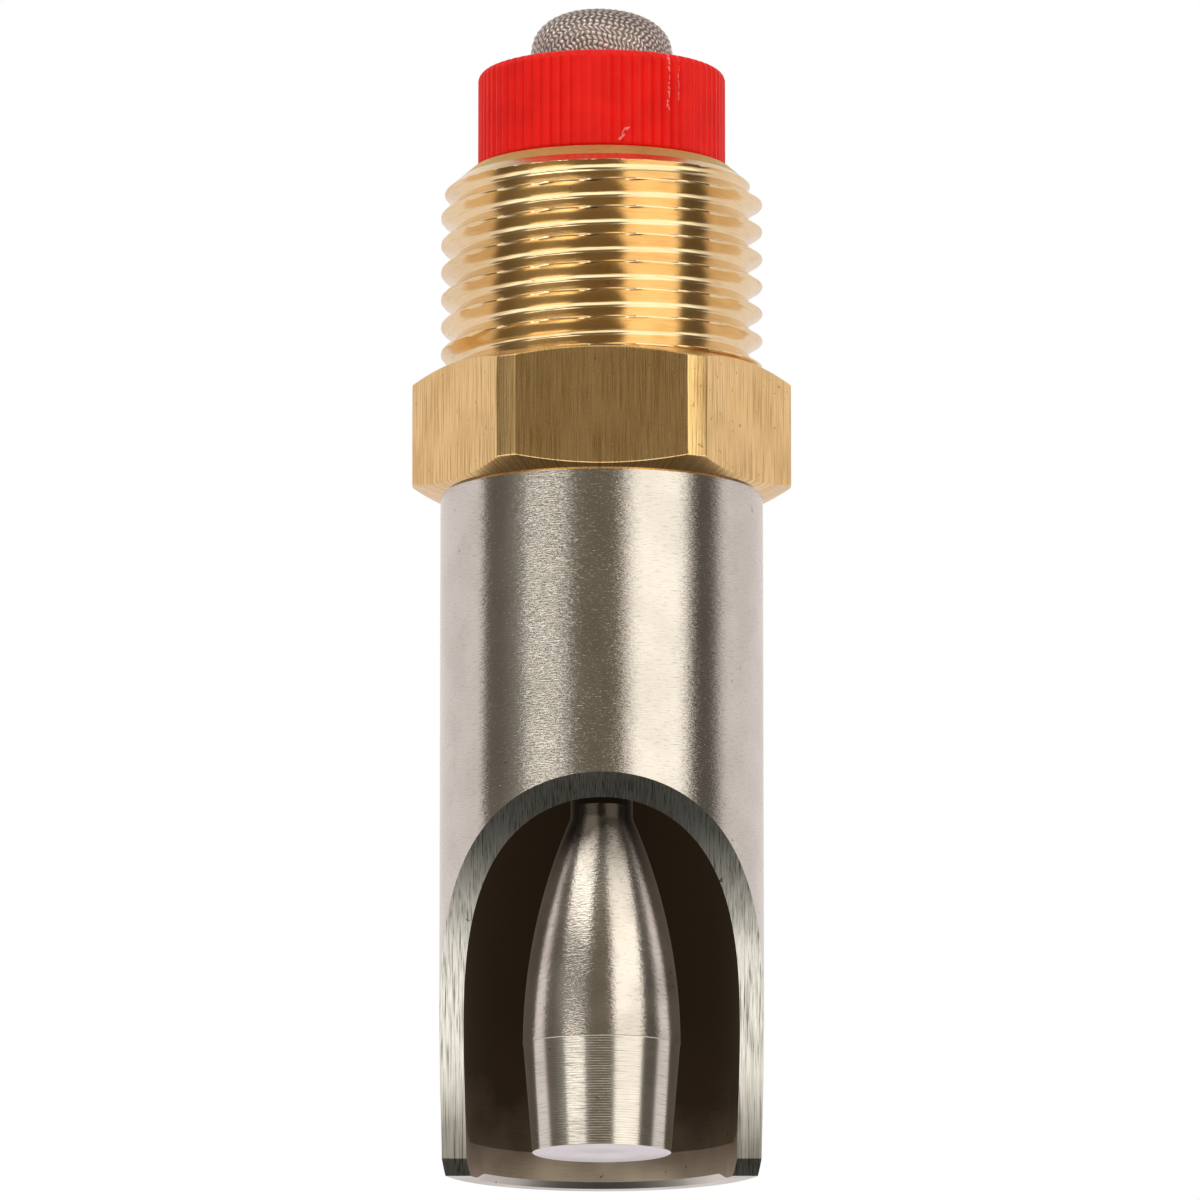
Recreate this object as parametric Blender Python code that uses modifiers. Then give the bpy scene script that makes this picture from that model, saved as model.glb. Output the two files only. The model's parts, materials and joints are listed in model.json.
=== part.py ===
"""Bite-nipple drinker for livestock, built as the separate pieces it comes apart into.

The frame has its origin at the centre of the hexagon's upper face, where the male pipe thread starts.
+Z runs along the axis towards the water inlet, and the mouth of the shield opens towards -Y.
Every size is in metres. MM turns the driving dimensions, written in millimetres, into metres.
"""

import math

import bmesh
import bpy

MM = 0.001

# Male pipe thread, G 1/2, and the body's inlet end
THREAD_CREST_R = 10.48 * MM
THREAD_PITCH = 1.814 * MM
THREAD_LENGTH = 13.6 * MM
THREAD_TOP_R = 8.45 * MM
THREAD_LEAD_IN = 1.2 * MM
THREAD_LEAD_IN_R = 9.86 * MM

# Hexagon for the wrench
HEX_ACROSS_FLATS = 22.0 * MM
HEX_HEIGHT = 8.0 * MM
HEX_CORNER_R = 12.325 * MM
HEX_CHAMFER_R = 10.6 * MM
HEX_CHAMFER_DROP = 0.7 * MM

# Stainless shield tube and its mouth
SHIELD_R = 10.48 * MM
SHIELD_WALL = 1.56 * MM
SHIELD_LENGTH = 44.0 * MM
SHIELD_RIM_CHAMFER = 0.4 * MM
MOUTH_CUT_R = 35.0 * MM
MOUTH_CUT_BEHIND_AXIS = 1.9 * MM
MOUTH_CUT_BELOW_RIM = 2.5 * MM
MOUTH_CORNER_BEVEL = 1.3 * MM
SPIGOT_LENGTH = 8.0 * MM
SPIGOT_LEAD_IN = 0.4 * MM

# Bite pin
PIN_LEAN = math.radians(4.8)
PIN_LEAN_GAP = 0.344 * MM
PIN_END_INSET = 1.1 * MM
PIN_CONE_LENGTH = 7.0 * MM
PIN_NOSE_ARC_R = 37.0 * MM
STEM_R = 2.0 * MM
STEM_NECK_R = 1.5 * MM

# Valve chamber, seat and the pieces in it
CHAMBER_R = 7.0 * MM
SEAT_DEPTH = 3.0 * MM
SEAT_BORE_R = 5.6 * MM
SEAL_THICKNESS = 1.7 * MM
SEAL_BORE_R = 2.3 * MM
DISC_THICKNESS = 2.0 * MM
CHAMBER_CLEARANCE = 0.4 * MM
STEM_HEAD_RISE = 0.75 * MM
CUP_R = 4.6 * MM
CUP_THICKNESS = 0.6 * MM
CUP_RIM_HEIGHT = 1.75 * MM
CUP_WALL = 0.4 * MM
SPRING_WIRE_R = 0.35 * MM
SPRING_PITCH = 1.15 * MM

# Regulator insert
CAP_R = 8.08 * MM
CAP_HEIGHT = 6.4 * MM
CAP_EDGE_R = 0.5 * MM
CAP_RIBS = 80
CAP_RIB_DEPTH = 0.2 * MM
SHANK_LENGTH = 5.6 * MM
SHANK_PITCH = 1.5 * MM
SHANK_THREAD_DEPTH = 0.7 * MM
SHANK_THREAD_CREST = 0.4 * MM
SHANK_THREAD_LENGTH = 3.9 * MM
TAPPED_LENGTH = 6.2 * MM
CAP_BORE_R = 5.6 * MM
CAP_SHOULDER = 3.1 * MM
NOZZLE_INSET = 0.3 * MM
NOZZLE_DISC = 1.5 * MM
NOZZLE_HOLE_R = 1.2 * MM
NOZZLE_WALL = 0.8 * MM
FERRULE_HEIGHT = 1.2 * MM
FERRULE_WALL = 1.1 * MM

# Filter thimble
FILTER_R = 4.6 * MM
FILTER_RISE = 4.3 * MM
FILTER_DOME_HEIGHT = 3.8 * MM
FILTER_DOME_POWER = 2.4
FILTER_WALL = 0.3 * MM
FILTER_FLANGE = 0.3 * MM

# Gaps between pieces, and the facets of round pieces
FIT_GAP = 0.1 * MM
REST_GAP = 0.05 * MM
THREAD_GAP = 0.15 * MM
FLANK_GAP = 0.1 * MM
STEPS = 48
THREAD_STEPS = 28
MOUTH_STEPS = 128
DOME_POINTS = 8
NOSE_POINTS = 7
SPRING_POINTS_PER_TURN = 14

# Heights worked out from the driving dimensions
BODY_TOP_Z = THREAD_LENGTH
SHIELD_TOP_Z = -HEX_HEIGHT - FIT_GAP
SHIELD_END_Z = SHIELD_TOP_Z - SHIELD_LENGTH
SHIELD_BORE_R = SHIELD_R - SHIELD_WALL
SEAT_Z = -SEAT_DEPTH
SEAL_BOTTOM_Z = SEAT_Z + REST_GAP
SEAL_TOP_Z = SEAL_BOTTOM_Z + SEAL_THICKNESS
DISC_BOTTOM_Z = SEAL_TOP_Z + FIT_GAP
DISC_TOP_Z = DISC_BOTTOM_Z + DISC_THICKNESS
DISC_R = CHAMBER_R - CHAMBER_CLEARANCE
TILT_Z = (SEAL_BOTTOM_Z + SEAL_TOP_Z) / 2
STEM_TOP_Z = DISC_TOP_Z + STEM_HEAD_RISE
CUP_BOTTOM_Z = STEM_TOP_Z + REST_GAP
PIN_END_Z = SHIELD_END_Z + PIN_END_INSET
PIN_WIDEST_Z = PIN_END_Z + PIN_CONE_LENGTH
CAP_BOTTOM_Z = BODY_TOP_Z + FIT_GAP
CAP_TOP_Z = CAP_BOTTOM_Z + CAP_HEIGHT
SHANK_R = CHAMBER_R - THREAD_GAP
SHANK_END_Z = CAP_BOTTOM_Z - SHANK_LENGTH - FIT_GAP
CAP_SHOULDER_Z = CAP_TOP_Z - CAP_SHOULDER
FLANGE_TOP_Z = CAP_SHOULDER_Z - FIT_GAP
FERRULE_TOP_Z = FLANGE_TOP_Z - FILTER_FLANGE - FIT_GAP
NOZZLE_BOTTOM_Z = SHANK_END_Z + NOZZLE_INSET
NOZZLE_TOP_Z = FERRULE_TOP_Z - FERRULE_HEIGHT - FIT_GAP
INSERT_R = CAP_BORE_R - FIT_GAP
FILTER_TOP_Z = CAP_TOP_Z + FILTER_RISE


def leaning_radius(z):
    """Radius at height z that clears the shield by the lean gap when the pin leans its whole way."""
    return (SHIELD_BORE_R - PIN_LEAN_GAP - (TILT_Z - z) * math.sin(PIN_LEAN)) / math.cos(PIN_LEAN)


PIN_R = leaning_radius(PIN_WIDEST_Z)
PIN_END_R = leaning_radius(PIN_END_Z)


def clear_scene():
    for obj in list(bpy.data.objects):
        bpy.data.objects.remove(obj, do_unlink=True)


def new_collection(name):
    collection = bpy.data.collections.new(name)
    bpy.context.scene.collection.children.link(collection)
    return collection


def material(name, color, metallic, roughness):
    made = bpy.data.materials.new(name)
    made.use_nodes = True
    shader = made.node_tree.nodes["Principled BSDF"]
    shader.inputs["Base Color"].default_value = (*color, 1.0)
    shader.inputs["Metallic"].default_value = metallic
    shader.inputs["Roughness"].default_value = roughness
    return made


def pivot(collection, name, z, parent=None):
    """An empty on a joint's axis, at height z above the frame's origin."""
    empty = bpy.data.objects.new(name, None)
    empty.empty_display_size = 3 * MM
    empty["height"] = z
    empty.location.z = z - (parent["height"] if parent else 0.0)
    empty.parent = parent
    collection.objects.link(empty)
    return empty


def add_object(collection, name, data, parent=None):
    obj = bpy.data.objects.new(name, data)
    obj.parent = parent
    collection.objects.link(obj)
    return obj


def turned(collection, name, outline, closed=False, parent=None, steps=STEPS):
    """A turned piece: (radius, height) points from the top down its outer side, spun round Z.

    A closed outline makes a ring. An open one starts and ends on the axis.
    """
    base = parent["height"] if parent else 0.0
    mesh = bpy.data.meshes.new(name)
    count = len(outline)
    edges = [(i, i + 1) for i in range(count - 1)]
    if closed:
        edges.append((count - 1, 0))
    mesh.from_pydata([(r, 0.0, z - base) for r, z in outline], edges, [])
    obj = add_object(collection, name, mesh, parent)
    screw = obj.modifiers.new("turn", "SCREW")
    screw.axis = "Z"
    screw.steps = steps
    screw.render_steps = steps
    screw.use_merge_vertices = True
    screw.merge_threshold = 1e-6
    screw.use_smooth_shade = False
    return obj


def boolean(obj, operation, other):
    modifier = obj.modifiers.new(f"{operation.lower()} {other.name}", "BOOLEAN")
    modifier.operation = operation
    modifier.object = other
    modifier.solver = "EXACT"


def helper_look(obj):
    obj.hide_render = True
    obj.display_type = "WIRE"
    return obj


def finish_mesh(form, name):
    bmesh.ops.recalc_face_normals(form, faces=form.faces)
    mesh = bpy.data.meshes.new(name)
    form.to_mesh(mesh)
    form.free()
    return mesh


def helix_ridge(collection, name, section, pitch, z_start, z_end, steps=THREAD_STEPS):
    """A right-hand thread ridge: a (radius, height) section carried up a helix, capped at both ends.

    Turn t of the helix stands at height pitch * t, so that two ridges of one pitch are in step.
    """
    first = round(z_start / pitch * steps)
    last = round(z_end / pitch * steps)
    form = bmesh.new()
    rings = []
    for step in range(first, last + 1):
        angle = 2 * math.pi * step / steps
        height = pitch * step / steps
        ring = [form.verts.new((r * math.cos(angle), r * math.sin(angle), z + height)) for r, z in section]
        rings.append(ring)
    for low, high in zip(rings, rings[1:]):
        for i in range(len(section)):
            j = (i + 1) % len(section)
            form.faces.new((low[i], low[j], high[j], high[i]))
    form.faces.new(rings[0])
    form.faces.new(rings[-1])
    bmesh.ops.triangulate(form, faces=form.faces)
    return helper_look(add_object(collection, name, finish_mesh(form, name)))


def prism(collection, name, sides, radius, z_low, z_high, turn=0.0):
    form = bmesh.new()
    bmesh.ops.create_cone(
        form, cap_ends=True, segments=sides, radius1=radius, radius2=radius, depth=z_high - z_low
    )
    obj = add_object(collection, name, finish_mesh(form, name))
    obj.location.z = (z_low + z_high) / 2
    obj.rotation_euler.z = turn
    return helper_look(obj)


def pipe_thread_section():
    """Whitworth form: 55 degree flanks, with a crest rounded over two sixths of its sharp width."""
    sharp_height = 0.9605 * THREAD_PITCH
    apex_r = THREAD_CREST_R + sharp_height / 6
    slope = math.tan(math.radians(27.5))
    root_r = THREAD_CREST_R - 0.6403 * THREAD_PITCH
    buried_r = root_r - 0.1 * MM
    shoulder_r = THREAD_CREST_R - 0.08 * MM
    base_half = (apex_r - buried_r) * slope
    crest_half = (apex_r - shoulder_r) * slope
    section = [
        (buried_r, -base_half),
        (shoulder_r, -crest_half),
        (THREAD_CREST_R, 0.0),
        (shoulder_r, crest_half),
        (buried_r, base_half),
    ]
    return section, root_r


def shank_thread_section(core_r, gap):
    """A 60 degree ridge on core_r. A gap of more than 0 makes the groove that it runs in."""
    slope = math.tan(math.radians(30))
    crest_r = core_r + SHANK_THREAD_DEPTH
    crest_half = SHANK_THREAD_CREST / 2 + (gap - THREAD_GAP * slope if gap else 0.0)
    buried_r = core_r - 0.1 * MM
    base_half = crest_half + (crest_r - buried_r) * slope
    return [(buried_r, -base_half), (crest_r, -crest_half), (crest_r, crest_half), (buried_r, base_half)]


def make_body(parts, helpers):
    """Brass body: thread, hexagon and spigot outside; chamber, seat and tapped hole inside."""
    section, root_r = pipe_thread_section()
    hidden = 1.0 * MM
    body = turned(
        parts,
        "brass_body",
        [(0.0, BODY_TOP_Z + hidden), (root_r, BODY_TOP_Z + hidden), (root_r, -hidden), (0.0, -hidden)],
    )
    ridge = helix_ridge(
        helpers, "pipe_thread_ridge", section, THREAD_PITCH, -hidden, BODY_TOP_Z + THREAD_PITCH / 2
    )
    lead_slope = (THREAD_LEAD_IN_R - THREAD_TOP_R) / THREAD_LEAD_IN
    outside_r = THREAD_CREST_R + hidden
    lead_in = helper_look(
        turned(
            helpers,
            "thread_envelope",
            [
                (0.0, BODY_TOP_Z),
                (THREAD_TOP_R, BODY_TOP_Z),
                (outside_r, BODY_TOP_Z - (outside_r - THREAD_TOP_R) / lead_slope),
                (outside_r, -2 * hidden),
                (0.0, -2 * hidden),
            ],
        )
    )
    spigot_r = SHIELD_BORE_R - FIT_GAP
    spigot_end_z = -HEX_HEIGHT - SPIGOT_LENGTH
    hexagon = helper_look(
        turned(
            helpers,
            "hexagon_and_spigot",
            [
                (0.0, 0.0),
                (HEX_CHAMFER_R, 0.0),
                (HEX_CORNER_R, -HEX_CHAMFER_DROP),
                (HEX_CORNER_R, HEX_CHAMFER_DROP - HEX_HEIGHT),
                (HEX_CHAMFER_R, -HEX_HEIGHT),
                (spigot_r, -HEX_HEIGHT),
                (spigot_r, spigot_end_z + SPIGOT_LEAD_IN),
                (spigot_r - SPIGOT_LEAD_IN, spigot_end_z),
                (0.0, spigot_end_z),
            ],
        )
    )
    flats = prism(
        helpers,
        "hexagon_flats",
        6,
        HEX_ACROSS_FLATS / 2 / math.cos(math.pi / 6),
        spigot_end_z - hidden,
        hidden,
        turn=math.pi / 6,
    )
    boolean(hexagon, "INTERSECT", flats)
    mouth_r = CHAMBER_R + SHANK_THREAD_DEPTH + THREAD_GAP
    bore = helper_look(
        turned(
            helpers,
            "body_bore",
            [
                (0.0, BODY_TOP_Z + hidden),
                (mouth_r + hidden, BODY_TOP_Z + hidden),
                (CHAMBER_R, BODY_TOP_Z - (mouth_r - CHAMBER_R)),
                (CHAMBER_R, SEAT_Z),
                (SEAT_BORE_R, SEAT_Z),
                (SEAT_BORE_R, spigot_end_z - hidden),
                (0.0, spigot_end_z - hidden),
            ],
        )
    )
    groove = helix_ridge(
        helpers,
        "tapped_groove",
        shank_thread_section(CHAMBER_R, FLANK_GAP),
        SHANK_PITCH,
        BODY_TOP_Z - TAPPED_LENGTH,
        BODY_TOP_Z + SHANK_PITCH,
    )
    boolean(body, "UNION", ridge)
    boolean(body, "INTERSECT", lead_in)
    boolean(body, "UNION", hexagon)
    boolean(body, "DIFFERENCE", bore)
    boolean(body, "DIFFERENCE", groove)
    body.data.materials.append(material("brass", (0.72, 0.50, 0.20), 1.0, 0.25))


def make_shield(parts, helpers):
    """Stainless tube with the mouth cut by one large cylinder across it."""
    shield = turned(
        parts,
        "shield_tube",
        [
            (SHIELD_R, SHIELD_TOP_Z),
            (SHIELD_R, SHIELD_END_Z),
            (SHIELD_BORE_R + SHIELD_RIM_CHAMFER, SHIELD_END_Z),
            (SHIELD_BORE_R, SHIELD_END_Z + SHIELD_RIM_CHAMFER),
            (SHIELD_BORE_R, SHIELD_TOP_Z),
        ],
        closed=True,
    )
    form = bmesh.new()
    bmesh.ops.create_cone(
        form,
        cap_ends=True,
        segments=MOUTH_STEPS,
        radius1=MOUTH_CUT_R,
        radius2=MOUTH_CUT_R,
        depth=3 * SHIELD_R,
    )
    mouth = helper_look(add_object(helpers, "mouth_cut", finish_mesh(form, "mouth_cut")))
    centre_z = SHIELD_END_Z - MOUTH_CUT_BELOW_RIM
    centre_y = MOUTH_CUT_BEHIND_AXIS - math.sqrt(MOUTH_CUT_R**2 - MOUTH_CUT_BELOW_RIM**2)
    mouth.location = (0.0, centre_y, centre_z)
    mouth.rotation_euler.y = math.pi / 2
    form = bmesh.new()
    bmesh.ops.create_cube(form, size=1.0)
    bmesh.ops.scale(form, vec=(3 * SHIELD_R, MOUTH_CORNER_BEVEL, MOUTH_CORNER_BEVEL), verts=form.verts)
    corner = helper_look(add_object(helpers, "corner_bevel", finish_mesh(form, "corner_bevel")))
    corner.location = (0.0, MOUTH_CUT_BEHIND_AXIS, SHIELD_END_Z)
    corner.rotation_euler.x = math.pi / 4
    boolean(shield, "DIFFERENCE", mouth)
    boolean(shield, "DIFFERENCE", corner)
    shield.data.materials.append(material("polished_stainless", (0.62, 0.60, 0.57), 1.0, 0.3))


def nose_radius(drop):
    """The pin's radius where it narrows upwards from its widest ring: an arc tangent to the axis."""
    return PIN_R - (PIN_NOSE_ARC_R - math.sqrt(PIN_NOSE_ARC_R**2 - drop**2))


def make_pin(parts, tilt):
    """Bite pin: bullet and stem in one, with a neck through the disc and a rounded end above it."""
    head_r = STEM_TOP_Z - TILT_Z
    head_low_z = DISC_TOP_Z + REST_GAP
    head_angle = math.acos((head_low_z - TILT_Z) / head_r)
    head = [
        (head_r * math.sin(head_angle * i / 4), TILT_Z + head_r * math.cos(head_angle * i / 4))
        for i in range(5)
    ]
    reach = math.sqrt(PIN_NOSE_ARC_R**2 - (PIN_NOSE_ARC_R - PIN_R + STEM_R) ** 2)
    nose = []
    for i in range(NOSE_POINTS + 1):
        drop = reach * (1 - i / NOSE_POINTS)
        nose.append((nose_radius(drop), PIN_WIDEST_Z + drop))
    pin = turned(
        parts,
        "bite_pin",
        [
            *head,
            (STEM_NECK_R, head_low_z),
            (STEM_NECK_R, DISC_BOTTOM_Z - REST_GAP),
            (STEM_R, DISC_BOTTOM_Z - REST_GAP),
            *nose,
            (PIN_END_R, PIN_END_Z),
            (0.0, PIN_END_Z),
        ],
        parent=tilt,
        steps=36,
    )
    pin.data.materials.append(material("turned_stainless", (0.68, 0.65, 0.60), 1.0, 0.22))
    disc = ring(parts, "valve_disc", DISC_R, STEM_NECK_R + FIT_GAP, DISC_TOP_Z, DISC_BOTTOM_Z, tilt)
    disc.data.materials.append(material("disc_stainless", (0.60, 0.59, 0.57), 1.0, 0.3))


def ring(collection, name, outer_r, inner_r, z_high, z_low, parent=None):
    outline = [(outer_r, z_high), (outer_r, z_low), (inner_r, z_low), (inner_r, z_high)]
    return turned(collection, name, outline, closed=True, parent=parent)


def make_valve(parts, lift, spin):
    """Rubber washer on the stem, and the pressed cup that the spring bears on."""
    seal = ring(parts, "valve_seal", DISC_R, SEAL_BORE_R, SEAL_TOP_Z, SEAL_BOTTOM_Z, spin)
    seal.data.materials.append(material("black_rubber", (0.03, 0.03, 0.03), 0.0, 0.7))
    floor_z = CUP_BOTTOM_Z + CUP_THICKNESS
    rim_z = CUP_BOTTOM_Z + CUP_RIM_HEIGHT
    cup = turned(
        parts,
        "spring_cup",
        [
            (0.0, floor_z),
            (CUP_R - CUP_WALL, floor_z),
            (CUP_R - CUP_WALL, rim_z),
            (CUP_R, rim_z),
            (CUP_R, CUP_BOTTOM_Z),
            (0.0, CUP_BOTTOM_Z),
        ],
        parent=lift,
        steps=32,
    )
    cup.data.materials.append(material("pressed_stainless", (0.60, 0.60, 0.60), 1.0, 0.35))


def make_spring(parts):
    """Compression spring between the cup and the nozzle: a helix of constant pitch."""
    low_z = CUP_BOTTOM_Z + CUP_THICKNESS + REST_GAP + SPRING_WIRE_R
    high_z = NOZZLE_BOTTOM_Z - REST_GAP - SPRING_WIRE_R
    coil_r = CUP_R - CUP_WALL - 2 * FIT_GAP - SPRING_WIRE_R
    turns = (high_z - low_z) / SPRING_PITCH
    count = math.ceil(turns * SPRING_POINTS_PER_TURN)
    curve = bpy.data.curves.new("return_spring", "CURVE")
    curve.dimensions = "3D"
    curve.bevel_depth = SPRING_WIRE_R
    curve.bevel_resolution = 2
    curve.use_fill_caps = True
    spline = curve.splines.new("POLY")
    spline.points.add(count)
    for i, point in enumerate(spline.points):
        angle = 2 * math.pi * turns * i / count
        height = low_z + (high_z - low_z) * i / count
        point.co = (coil_r * math.cos(angle), coil_r * math.sin(angle), height, 1.0)
    spring = add_object(parts, "return_spring", curve)
    spring.data.materials.append(material("spring_wire", (0.60, 0.60, 0.60), 1.0, 0.3))


def rib_head(name, base_z):
    """Knurled head: rings of points whose radius dips between ribs, closed by two flat caps."""
    edge = [(CAP_EDGE_R * (1 - math.cos(a)), CAP_EDGE_R * (1 - math.sin(a))) for a in (0.0, 0.8, 1.5708)]
    levels = [(CAP_R, CAP_BOTTOM_Z)] + [(CAP_R - inset, CAP_TOP_Z - drop) for inset, drop in edge]
    count = 2 * CAP_RIBS
    form = bmesh.new()
    rings = []
    for radius, z in levels:
        verts = []
        for i in range(count):
            angle = 2 * math.pi * i / count
            r = radius - CAP_RIB_DEPTH * (i % 2)
            verts.append(form.verts.new((r * math.cos(angle), r * math.sin(angle), z - base_z)))
        rings.append(verts)
    for low, high in zip(rings, rings[1:]):
        for i in range(count):
            j = (i + 1) % count
            form.faces.new((low[i], low[j], high[j], high[i]))
    form.faces.new(rings[0])
    form.faces.new(rings[-1])
    bmesh.ops.triangulate(form, faces=form.faces)
    return finish_mesh(form, name)


def make_regulator(parts, helpers, turn):
    """Red insert with its threaded shank, and the white nozzle that is pressed into it."""
    cap = add_object(parts, "regulator_cap", rib_head("regulator_cap", turn["height"]), turn)
    hidden = 1.0 * MM
    shank = helper_look(
        turned(
            helpers,
            "cap_shank",
            [
                (0.0, CAP_BOTTOM_Z + hidden),
                (SHANK_R, CAP_BOTTOM_Z + hidden),
                (SHANK_R, SHANK_END_Z),
                (0.0, SHANK_END_Z),
            ],
        )
    )
    thread_start_z = SHANK_END_Z + SHANK_PITCH / 2
    ridge = helix_ridge(
        helpers,
        "shank_thread_ridge",
        shank_thread_section(SHANK_R, 0.0),
        SHANK_PITCH,
        thread_start_z,
        thread_start_z + SHANK_THREAD_LENGTH,
    )
    hole_r = FILTER_R + THREAD_GAP
    bore = helper_look(
        turned(
            helpers,
            "cap_bore",
            [
                (0.0, CAP_TOP_Z + hidden),
                (hole_r, CAP_TOP_Z + hidden),
                (hole_r, CAP_SHOULDER_Z),
                (CAP_BORE_R, CAP_SHOULDER_Z),
                (CAP_BORE_R, SHANK_END_Z - hidden),
                (0.0, SHANK_END_Z - hidden),
            ],
        )
    )
    boolean(cap, "UNION", shank)
    boolean(cap, "UNION", ridge)
    boolean(cap, "DIFFERENCE", bore)
    cap.data.materials.append(material("red_acetal", (0.72, 0.02, 0.02), 0.0, 0.35))
    skirt_r = INSERT_R - NOZZLE_WALL
    nozzle = turned(
        parts,
        "flow_nozzle",
        [
            (INSERT_R, NOZZLE_TOP_Z),
            (INSERT_R, NOZZLE_BOTTOM_Z),
            (NOZZLE_HOLE_R, NOZZLE_BOTTOM_Z),
            (NOZZLE_HOLE_R, NOZZLE_BOTTOM_Z + NOZZLE_DISC),
            (skirt_r, NOZZLE_BOTTOM_Z + NOZZLE_DISC),
            (skirt_r, NOZZLE_TOP_Z),
        ],
        closed=True,
        parent=turn,
        steps=36,
    )
    nozzle.data.materials.append(material("white_acetal", (0.85, 0.85, 0.82), 0.0, 0.4))


def dome(radius, top_z, height):
    """Points down a rounded dome: a super-ellipse from the axis to the straight wall."""
    points = []
    for i in range(DOME_POINTS + 1):
        angle = math.pi / 2 * i / DOME_POINTS
        r = radius * math.sin(angle) ** (2 / FILTER_DOME_POWER)
        rise = height * math.cos(angle) ** (2 / FILTER_DOME_POWER) if i < DOME_POINTS else 0.0
        points.append((r, top_z - height + rise))
    return points


def make_filter(parts, travel):
    """Woven thimble, modelled as a thin shell with a flange, and the ferrule that holds its rim."""
    outside = dome(FILTER_R, FILTER_TOP_Z, FILTER_DOME_HEIGHT)
    inner_r = FILTER_R - FILTER_WALL
    inside = dome(inner_r, FILTER_TOP_Z - FILTER_WALL, FILTER_DOME_HEIGHT - FILTER_WALL)
    flange_low_z = FLANGE_TOP_Z - FILTER_FLANGE
    screen = turned(
        parts,
        "filter_screen",
        [
            *outside,
            (FILTER_R, FLANGE_TOP_Z),
            (INSERT_R, FLANGE_TOP_Z),
            (INSERT_R, flange_low_z),
            (inner_r, flange_low_z),
            *reversed(inside),
        ],
        parent=travel,
        steps=32,
    )
    screen.data.materials.append(material("woven_stainless", (0.55, 0.50, 0.47), 1.0, 0.45))
    ferrule = ring(
        parts,
        "filter_ferrule",
        INSERT_R,
        INSERT_R - FERRULE_WALL,
        FERRULE_TOP_Z,
        FERRULE_TOP_Z - FERRULE_HEIGHT,
        travel,
    )
    ferrule.data.materials.append(material("ferrule_stainless", (0.60, 0.60, 0.60), 1.0, 0.35))


def shade_round_pieces(parts):
    for obj in parts.objects:
        if obj.type == "MESH":
            obj.data.shade_smooth()
            obj.data.set_sharp_from_angle(angle=math.radians(30))


def main():
    clear_scene()
    parts = new_collection("bite_nipple_drinker")
    helpers = new_collection("cutters")
    lift = pivot(parts, "pin_lift_axis", CUP_BOTTOM_Z)
    spin = pivot(parts, "pin_spin_axis", SEAL_BOTTOM_Z, lift)
    tilt = pivot(parts, "pin_tilt_axis", TILT_Z, spin)
    travel = pivot(parts, "regulator_travel_axis", BODY_TOP_Z)
    turn = pivot(parts, "regulator_turn_axis", BODY_TOP_Z, travel)
    make_body(parts, helpers)
    make_shield(parts, helpers)
    make_pin(parts, tilt)
    make_valve(parts, lift, spin)
    make_spring(parts)
    make_regulator(parts, helpers, turn)
    make_filter(parts, travel)
    shade_round_pieces(parts)


main()
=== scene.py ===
"""Finishes, fine surfaces, studio and camera for a livestock bite-nipple drinker.

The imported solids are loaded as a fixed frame. The pieces that show are built again as fine surfaces, each a
function of two parameters worked out on a whole grid, and the pieces inside the valve keep their own solids.
Lengths are in metres. MM turns a size in millimetres into metres, and UV maps are in millimetres: u runs
round the axis and v runs along it, so that every pattern is set in real sizes.
"""

from __future__ import annotations

import json
import logging
import math
from dataclasses import dataclass
from enum import Enum

import bpy
import numpy as np
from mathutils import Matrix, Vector

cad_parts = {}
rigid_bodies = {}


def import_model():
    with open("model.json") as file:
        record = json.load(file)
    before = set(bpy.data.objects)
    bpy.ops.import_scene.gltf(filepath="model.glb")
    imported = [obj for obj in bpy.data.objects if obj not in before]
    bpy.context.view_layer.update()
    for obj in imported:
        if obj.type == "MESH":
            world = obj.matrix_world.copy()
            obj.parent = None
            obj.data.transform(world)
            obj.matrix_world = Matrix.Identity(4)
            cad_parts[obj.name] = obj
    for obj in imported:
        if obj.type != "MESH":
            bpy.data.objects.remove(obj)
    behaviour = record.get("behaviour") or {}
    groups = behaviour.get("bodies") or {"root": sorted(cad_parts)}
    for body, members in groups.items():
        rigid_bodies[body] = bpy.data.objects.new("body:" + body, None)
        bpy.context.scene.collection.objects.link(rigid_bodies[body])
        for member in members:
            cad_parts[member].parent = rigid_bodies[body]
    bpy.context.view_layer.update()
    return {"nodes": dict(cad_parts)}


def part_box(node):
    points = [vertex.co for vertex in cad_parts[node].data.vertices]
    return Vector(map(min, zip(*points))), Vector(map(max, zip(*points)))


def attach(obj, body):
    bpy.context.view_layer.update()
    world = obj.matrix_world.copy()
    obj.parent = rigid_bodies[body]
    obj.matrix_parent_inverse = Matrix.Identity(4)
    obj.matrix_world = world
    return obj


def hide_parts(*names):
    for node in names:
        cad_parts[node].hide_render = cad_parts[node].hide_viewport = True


LOG = logging.getLogger("bite_nipple_drinker")
MM = 0.001
TURN = 2.0 * math.pi
Color = tuple[float, float, float]


class Body(Enum):
    """The moving groups that the fine pieces ride on, by their names in the frame."""

    HOUSING = "housing"
    PIN = "pin"
    FILTER = "filter"
    REGULATOR = "regulator"


class Run(Enum):
    """Which way a worked surface's marks run."""

    ROUND = "round the axis"
    ALONG = "along the axis"


# ---------------------------------------------------------------------------------------------- surfaces


@dataclass(frozen=True)
class Band:
    """A stretch of a profile that wears one material: the first row it holds and the material's place."""

    first_row: int
    material: int


def polar(radius: np.ndarray, angle: np.ndarray, height: np.ndarray) -> np.ndarray:
    """Puts points at a radius, an angle from +X and a height.

    Args:
        radius: distances from the axis, in metres.
        angle: angles from +X towards +Y, in radians.
        height: heights, in metres.

    Returns:
        Points as an array with x, y and z last.
    """
    radius, angle, height = np.broadcast_arrays(radius, angle, height)
    return np.stack([radius * np.cos(angle), radius * np.sin(angle), height], axis=-1)


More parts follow.
